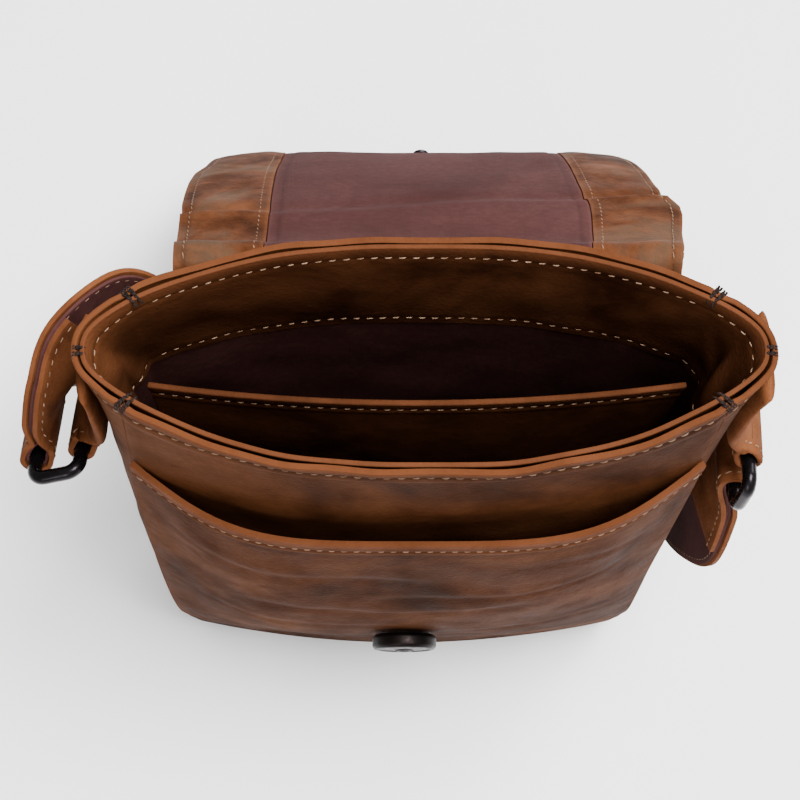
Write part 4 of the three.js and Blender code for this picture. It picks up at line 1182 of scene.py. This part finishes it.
def snap_pieces():
    place = pocket_point(0.0, SNAP_HEIGHT)
    slope = pocket_point(0.0, SNAP_HEIGHT + 5.0) - pocket_point(0.0, SNAP_HEIGHT - 5.0)
    facing = np.cross([1, 0, 0], unit(slope))
    radius = SNAP_DIAMETER / 2
    top = SNAP_THICKNESS
    profile = [
        (0.01, 0.0), (radius * 0.9, 0.0), (radius, top * 0.2), (radius, top * 0.72),
        (radius * 0.93, top * 0.9), (radius * 0.8, top * 0.93), (radius * 0.76, top * 0.86),
        (radius * 0.3, top * 0.92), (radius * 0.26, top), (radius * 0.16, top),
        (radius * 0.13, top * 0.86), (0.01, top * 0.84),
    ]
    turned("snap_socket_cap", "snap_socket", profile, place, facing, SNAP_METAL)
    along = 1 - STUD_FROM_END / FLAP_LENGTH
    out = flap_normal(np.array(0.0), np.array(along))
    place = flap_point(0.0, along) + out * (CLEARANCE + FACING_LEATHER + 0.2)
    radius = STUD_DIAMETER / 2
    profile = [
        (0.01, 0.0), (radius, 0.0), (radius, top * 0.14), (radius * 0.9, top * 0.4),
        (radius * 0.5, top * 0.5), (radius * 0.42, top * 0.8), (radius * 0.5, top * 0.9),
        (radius * 0.4, top), (0.01, top * 1.04),
    ]
    turned("snap_stud_post", "snap_stud", profile, place, out, GUNMETAL)


snap_pieces()

# %% [markdown]
# ## Rings
#
# Each ring is a rectangle bent from 3.8 mm wire. The tab holds one long bar and the strap the other.
# A curve with a round bevel could make it, but a list of round sections along the corners gives
# the same mesh without a second kind of object.

# %% Rings
WIRE_SIDES = 24


def ring_frame(place):
    long = unit(place["long_axis"])
    across = np.array(place["across_axis"], float)
    across = unit(across - across.dot(long) * long)
    tab_bar = np.array([place["side"] * SIDE_REACH, place["back"] * FLAP_REACH, place["up"] * BAG_HEIGHT])
    strap_bar = tab_bar + across * (RING_INNER_WIDTH + RING_WIRE)
    return dict(long=long, across=across, tab_bar=tab_bar, strap_bar=strap_bar)


def ring_piece(side):
    hold = RINGS[side]
    radius = RING_WIRE / 2
    half_long = RING_INNER_LENGTH / 2 + radius
    half_across = RING_INNER_WIDTH / 2 + radius
    centre = hold["tab_bar"] + hold["across"] * half_across + hold["long"] * RING_SLACK_SHIFT
    normal = np.cross(hold["long"], hold["across"])
    turns = np.arange(WIRE_SIDES) / WIRE_SIDES * 2 * math.pi
    sections = []
    for along, over, start in ((1, 1, 0), (-1, 1, 90), (-1, -1, 180), (1, -1, 270)):
        for angle in np.radians(start + np.linspace(0, 90, 13)):
            out = hold["long"] * math.cos(angle) + hold["across"] * math.sin(angle)
            middle = centre + hold["long"] * along * (half_long - RING_CORNER_RADIUS)
            middle = middle + hold["across"] * over * (half_across - RING_CORNER_RADIUS)
            middle = middle + out * RING_CORNER_RADIUS
            round_wire = np.cos(turns)[:, None] * out + np.sin(turns)[:, None] * normal
            sections.append(middle + radius * round_wire)
    points = np.array(sections + sections[:1])
    faces = grid_faces(len(points), WIRE_SIDES, True)
    smooth_piece(side + "_ring_wire", points, faces, GUNMETAL, "gunmetal", side + "_ring")


RINGS = {side: ring_frame(place) for side, place in RING_PLACES.items()}
for side in RINGS:
    ring_piece(side)

# %% [markdown]
# ## Tabs and strap
#
# The tabs and the strap are flat bands, each folded round a bar of its ring and sewn to itself. A
# flat strip could be bent with a curve modifier, but that can't turn back along itself. So a band
# follows a smooth run of stations, makes a half turn round the bar and comes back, and one list of
# sections carries both legs of each fold.

# %% Smooth runs


def slope(before, here, after, first_gap, second_gap):
    """The way a curve runs through a point, from its neighbours and the gaps to them."""
    overall = (after - before) / (first_gap + second_gap)
    return (here - before) / first_gap - overall + (after - here) / second_gap


def smooth_run(places, shares):
    """Points on the centripetal curve through the places, as a cable or a strap would lie."""
    places = np.array(places, float)
    segments = len(places) - 1
    made = []
    for share in shares:
        spot = share * segments
        index = min(int(spot), segments - 1)
        weight = spot - index
        second, third = places[index], places[index + 1]
        first = places[index - 1] if index > 0 else 2 * places[0] - places[1]
        fourth = places[index + 2] if index + 2 <= segments else 2 * places[-1] - places[-2]
        pairs = ((first, second), (second, third), (third, fourth))
        gaps = [max(np.linalg.norm(b - a) ** 0.5, 1e-4) for a, b in pairs]
        slope_in = slope(first, second, third, gaps[0], gaps[1]) * gaps[1]
        slope_out = slope(second, third, fourth, gaps[1], gaps[2]) * gaps[1]
        square, cube = weight**2, weight**3
        made.append(
            second
            + slope_in * weight
            + (-3 * second + 3 * third - 2 * slope_in - slope_out) * square
            + (2 * second - 2 * third + slope_in + slope_out) * cube
        )
    return np.array(made)


def stations(places, acrosses, count):
    shares = np.linspace(0, 1, count + 1)
    place = smooth_run(places, shares)
    fine = smooth_run(places, np.clip(shares + 1e-4, 0, 1)) - smooth_run(places, np.clip(shares - 1e-4, 0, 1))
    onwards = unit(fine)
    across = smooth_run(acrosses, shares)
    across = unit(across - (across * onwards).sum(axis=1, keepdims=True) * onwards)
    return dict(place=place, onwards=onwards, across=across, facing=np.cross(across, onwards))


# %% Folds and bands
BAND_COLUMNS = 15
BAND_CROWN = 0.12
BAND_STITCH_INSET = 2.4
TURN_STEPS = 14


def lead_place(bar, long, target, distance):
    way = target - bar
    return bar + unit(way - way.dot(long) * long) * distance


def fold_gap(distance, room, thickness):
    closed = (thickness + CLEARANCE) / 2
    return room + (closed - room) * smooth(distance, 0, FOLD_CLOSES)


def leg(run, chosen, side, gaps):
    out = run["facing"][chosen] * side
    return run["place"][chosen] + out * gaps[chosen][:, None], run["across"][chosen], out


def half_turn(run, index, radius, onwards_sign, start, end):
    angle = np.linspace(start, end, TURN_STEPS + 1)[1:-1, None] * math.pi
    out = np.cos(angle) * run["facing"][index] - np.sin(angle) * run["onwards"][index] * onwards_sign
    across = np.repeat(run["across"][index][None], len(angle), axis=0)
    return run["place"][index] + out * radius, across, out


def reverse(part):
    return tuple(values[::-1] for values in part)


def chain(parts):
    return tuple(np.concatenate(values) for values in zip(*parts))


def band(name, sections, width, low, high, finish, rubbed=0.4):
    """A layer of a band between two offsets, rubbed pale along both of its edges."""
    middle, across, out = sections
    side = np.linspace(-1, 1, BAND_COLUMNS)[None, :, None]
    sink = BAND_CROWN * np.abs(side) ** 3
    points = middle[:, None] + across[:, None] * side * width / 2 + out[:, None] * (high - sink)
    wear = rubbed * (1 - smooth(width / 2 * (1 - np.abs(side[..., 0])), 0, 1.1))
    flipped = (grid_normals(points) * out[:, None]).sum() < 0
    return sheet(name, points, high - low, finish, wear=wear, flipped=flipped)


def edge_lines(sections, width, offset):
    """The two stitch lines of a band, one near each edge, on the face at an offset."""
    middle, across, out = sections
    return [
        (middle + across * side * (width / 2 - BAND_STITCH_INSET) + out * offset, out * np.sign(offset))
        for side in (-1, 1)
    ]


# %% Tabs


def tab_sections(side):
    hold = RINGS[side]
    sign = 1 if side == "right" else -1
    top = hold["tab_bar"][2] + TAB_LENGTH

    def beside_gusset(height):
        points = body_point(side, np.linspace(-1, 1, 21), height)
        reach = np.where(np.abs(points[:, 1]) < TAB_WIDTH / 2, points[:, 0] * sign, 0).max()
        return sign * (reach + 2 * CLEARANCE + TAB_LEATHER + CLEARANCE / 2)

    half_up = top - TAB_LENGTH * TAB_MIDDLE_SHARE
    sewn = top - TAB_LENGTH * TAB_SEWN_SHARE
    middle = np.array([beside_gusset(half_up) + sign, hold["tab_bar"][1] * 0.6, half_up])
    places = [
        hold["tab_bar"],
        lead_place(hold["tab_bar"], hold["long"], middle, LEAD_LENGTH),
        middle,
        np.array([beside_gusset(sewn), 0, sewn]),
        np.array([beside_gusset(top), 0, top]),
    ]
    back = -hold["long"]
    level = np.array([0.0, 1.0, 0.0])
    run = stations(places, [back, back, level * 0.6 + back * 0.4, level, level], 30)
    radius = RING_WIRE / 2 + CLEARANCE + TAB_LEATHER / 2
    gaps = fold_gap(np.linalg.norm(run["place"] - hold["tab_bar"], axis=1), radius, TAB_LEATHER)
    everything = np.arange(len(gaps))
    sections = chain([
        reverse(leg(run, everything, 1, gaps)),
        half_turn(run, 0, radius, 1, 0, 1),
        leg(run, everything, -1, gaps),
    ])
    return sections, run, gaps


TAB_LOOP_REACH = 14
TAB_STRIP_START = 6
TAB_STRIP_SIDES = 56
TAB_PUFF = 0.9
TAB_TUCK = 1.9


def tab_body(side, run, gaps):
    """Above its loop both legs are sewn and turned into one soft, rounded strip."""
    sign = 1 if side == "right" else -1
    chosen = np.linalg.norm(run["place"] - run["place"][0], axis=1) > TAB_STRIP_START
    place, across, facing = run["place"][chosen], run["across"][chosen], run["facing"][chosen]
    facing = facing * np.sign(facing[:, :1] * sign)
    reach = gaps[chosen] + TAB_LEATHER / 2 + 0.05
    turn = np.arange(TAB_STRIP_SIDES) / TAB_STRIP_SIDES * 2 * math.pi
    wide = np.sign(np.cos(turn)) * np.abs(np.cos(turn)) ** 0.45
    deep = np.sign(np.sin(turn)) * np.abs(np.sin(turn)) ** 0.8
    share = np.linspace(0, 1, len(place))
    puff = TAB_PUFF * smooth(share, 0, 0.35)
    tucked = smooth(share, 0.6, 0.95)
    place = place - facing * (TAB_TUCK * tucked)[:, None]
    reach = reach * (1 - 0.45 * tucked)
    padding = np.where(deep > 0, 1, 0)[None] * puff[:, None] * (1 - np.abs(wide) ** 4)
    depth = deep[None] * (reach[:, None] + padding)
    points = place[:, None] + across[:, None] * (wide * (TAB_WIDTH / 2 + 0.15))[None, :, None]
    points = points + facing[:, None] * depth[..., None]
    points = points + facing[:, None] * (0.25 * ripple(points, 61, 16))[..., None] * (deep > 0)[None, :, None]
    corners = np.arange(len(place) * TAB_STRIP_SIDES).reshape(len(place), TAB_STRIP_SIDES)
    faces = grid_faces(len(place), TAB_STRIP_SIDES, True).tolist()
    faces += [corners[0, ::-1].tolist(), corners[-1].tolist()]
    wear = 0.5 * bump(np.abs(wide), 1, 0.12)[None] + 0 * depth
    values = {"wear": wear, "shade": 0 * wear}
    slot, node = "outer_leather", side + "_tab"
    smooth_piece(node + "_strip", points, faces, BAND_LEATHER, slot, node, values=values)


def tab_pieces():
    lines = []
    for side in RINGS:
        sections, run, gaps = tab_sections(side)
        loop = np.linalg.norm(sections[0] - run["place"][0], axis=1) < TAB_LOOP_REACH
        sections = tuple(values[loop] for values in sections)
        half = TAB_LEATHER / 2
        piece = band(side + "_tab_leather", sections, TAB_WIDTH, -half, half, BAND_LEATHER)
        seat(piece, "outer_leather", side + "_tab")
        tab_body(side, run, gaps)
        lines += edge_lines(sections, TAB_WIDTH, half)
    stitches("tab_stitches", lines, PALE_THREAD, pitch=3.0)


tab_pieces()

# %% Strap
STRAP_STATIONS = 520


def strap_sections():
    left, right = RINGS["left"], RINGS["right"]
    rows = np.array(STRAP_ROUTE)
    height = rows[:, 2] * BAG_HEIGHT + STRAP_WIDTH / 2 + CLEARANCE
    places = stack(rows[:, 0] * SIDE_REACH, rows[:, 1] * FLAP_REACH, height)
    ways = unit(rows[:, 3:])
    places = [
        left["strap_bar"],
        lead_place(left["strap_bar"], left["long"], places[0], LEAD_LENGTH),
        *places,
        lead_place(right["strap_bar"], right["long"], places[-1], LEAD_LENGTH),
        right["strap_bar"],
    ]
    ways = [-left["long"], -left["long"], *ways, right["long"], right["long"]]
    run = stations(places, ways, STRAP_STATIONS)
    travelled = np.concatenate([[0], np.cumsum(np.linalg.norm(np.diff(run["place"], axis=0), axis=1))])
    from_end = np.minimum(travelled, travelled[-1] - travelled)
    radius = RING_WIRE / 2 + CLEARANCE + STRAP_THICKNESS / 2
    gaps = fold_gap(from_end, radius, STRAP_THICKNESS)
    everything = np.arange(len(gaps))
    in_left = everything[travelled <= STRAP_END_LENGTH]
    in_right = everything[travelled[-1] - travelled <= STRAP_END_LENGTH]
    print("strap length", round(float(travelled[-1] + 2 * STRAP_END_LENGTH)), "mm")
    return chain([
        reverse(leg(run, in_left, 1, gaps)),
        half_turn(run, 0, radius, 1, 0, 1),
        leg(run, everything, -1, gaps),
        half_turn(run, len(gaps) - 1, radius, -1, 1, 0),
        reverse(leg(run, in_right, 1, gaps)),
    ])


LAYER_OVERLAP = 0.15


def strap_pieces():
    sections = strap_sections()
    half = STRAP_THICKNESS / 2
    outside = band(
        "strap_leather", sections, STRAP_WIDTH, half - STRAP_LEATHER - LAYER_OVERLAP, half, BAND_LEATHER
    )
    seat(outside, "outer_leather", "strap")
    inside = band(
        "strap_lining_band", sections, STRAP_WIDTH - 2 * STRAP_CLOTH_INSET,
        -half, STRAP_CLOTH - half + LAYER_OVERLAP, FLAP_LINING_CLOTH, rubbed=0.2,
    )
    seat(inside, "lining", "strap_lining")
    lines = edge_lines(sections, STRAP_WIDTH, half - 0.05) + edge_lines(sections, STRAP_WIDTH, -half)
    stitches("strap_stitches", lines, PALE_THREAD, radius=0.17)


strap_pieces()

# %% [markdown]
# ## Stitch rows of the bag
#
# Pale thread follows the turned edge outside and inside, the foot of the facing, the pocket's hem,
# the divider's hem and the borders of the flap. The rows could be drawn on by eye, but they have to
# lie in their grooves, so each line is worked out with the same functions as the sheet under it.

# %% Stitch rows


def wall_ways(wall, drop, inset):
    """Places along one level of a wall, and the way out of the bag at each of them."""
    across = np.linspace(-0.97, 0.97, 160)
    height = BAG_HEIGHT - drop
    out = unit(body_point(wall, across, height, 0.0) - body_point(wall, across, height, 2.0))
    return body_point(wall, across, height, inset), out


def outer_line(wall, drop):
    points, out = wall_ways(wall, drop, 0.0)
    rise = turned_edge(drop) - TURNED_PROUD + uneven_edge(points, drop)
    return points + out * (rise + 0.14)[:, None], out


def facing_line(wall, drop):
    points, out = wall_ways(wall, drop, LEATHER + LAYER_GAP)
    inwards = facing_inwards(points, drop)[0] + LINING
    return points - out * (inwards + 0.1)[:, None], -out


def pocket_line(drop):
    across = np.linspace(-0.985, 0.985, 220)
    height = pocket_hem(across) - drop
    points = pocket_point(across, height)
    out = unit(pocket_point(across, height) - pocket_point(across, height, 2.0))
    return points - out * 0.3, out


def divider_line(drop, offset):
    across = np.linspace(-0.98, 0.98, 160)
    points = divider_points(across, np.full(160, DIVIDER_HEIGHT - drop), offset)
    out = np.zeros_like(points)
    out[:, 1] = np.sign(offset)
    return points, out


def flap_line(across, along, lift):
    across, along = np.broadcast_arrays(np.asarray(across, float), np.asarray(along, float))
    out = flap_normal(across, along)
    points = flap_point(across, along)
    points[:, 0] += border_swell(across, along)
    return points + out * (lift + flap_fold(across, along))[:, None], out


# %% Knots of the mouth
# Where the mouth's edges are tied: the four seams, and the fold in the middle of each gusset.
RIM_KNOTS = [("front", -1), ("front", 1), ("back", -1), ("back", 1), ("left", 0.05), ("right", -0.05)]


def rim_knots():
    """Dark thread wound a few times over both turned edges, as the maker ties off each seam."""
    lines = []
    for wall, across in RIM_KNOTS:
        for step, tilt in ((-1.3, 0.5), (-0.45, -0.3), (0.4, 0.35), (1.2, -0.5)):
            start = body_point(wall, across, BAG_HEIGHT, -0.25)
            end = body_point(wall, across, BAG_HEIGHT, LEATHER + LAYER_GAP + LINING + 0.1)
            way = unit(end - start)
            along = np.array([-way[1], way[0], 0.0])
            share = np.linspace(0, 1, 9)[:, None]
            arch = 0.12 - 0.8 * np.abs(2 * share - 1) ** 3
            points = start + (end - start) * share + along * (step + tilt * share)
            points[:, 2:] += arch
            lines.append((points, np.repeat([[0.0, 0.0, 1.0]], 9, axis=0)))
    stitches("rim_knots", lines, DARK_THREAD, pitch=1.2, length=1.6, radius=0.3, lift=0.05, lean=0.35)


# %% Sewing the rows


def bag_stitches():
    walls = ("front", "right", "back", "left")
    outside = [outer_line(wall, STITCH_DROP) for wall in walls]
    stitches("rim_stitches_outside", outside, PALE_THREAD, pitch=3.4)
    inside = [facing_line(wall, drop) for drop in (STITCH_DROP, FACING_HEIGHT - HEM_ROW) for wall in walls]
    stitches("rim_stitches_inside", inside, PALE_THREAD, pitch=3.4)
    stitches("pocket_stitches", [pocket_line(HEM_STITCH_DROP)], PALE_THREAD, pitch=3.1)
    hems = [divider_line(DIVIDER_STITCH_DROP, side * DIVIDER_THICKNESS / 2) for side in (-1, 1)]
    stitches("divider_stitches", hems, PALE_THREAD, pitch=3.4)
    inwards = 2 * FLAP_STITCH_INSET / FLAP_WIDTH
    lift = CLEARANCE + FACING_LEATHER + 0.05
    along = np.linspace(CLOTH_START + 0.02, 0.9, 200)
    borders = []
    for side in (-1, 1):
        borders.append(flap_line(side * (1 - inwards), along, lift))
        borders.append(flap_line(side * (FLAP_SEAM + inwards), along, lift))
    stitches("flap_stitches", borders, PALE_THREAD, pitch=3.2, radius=0.16)


bag_stitches()
rim_knots()
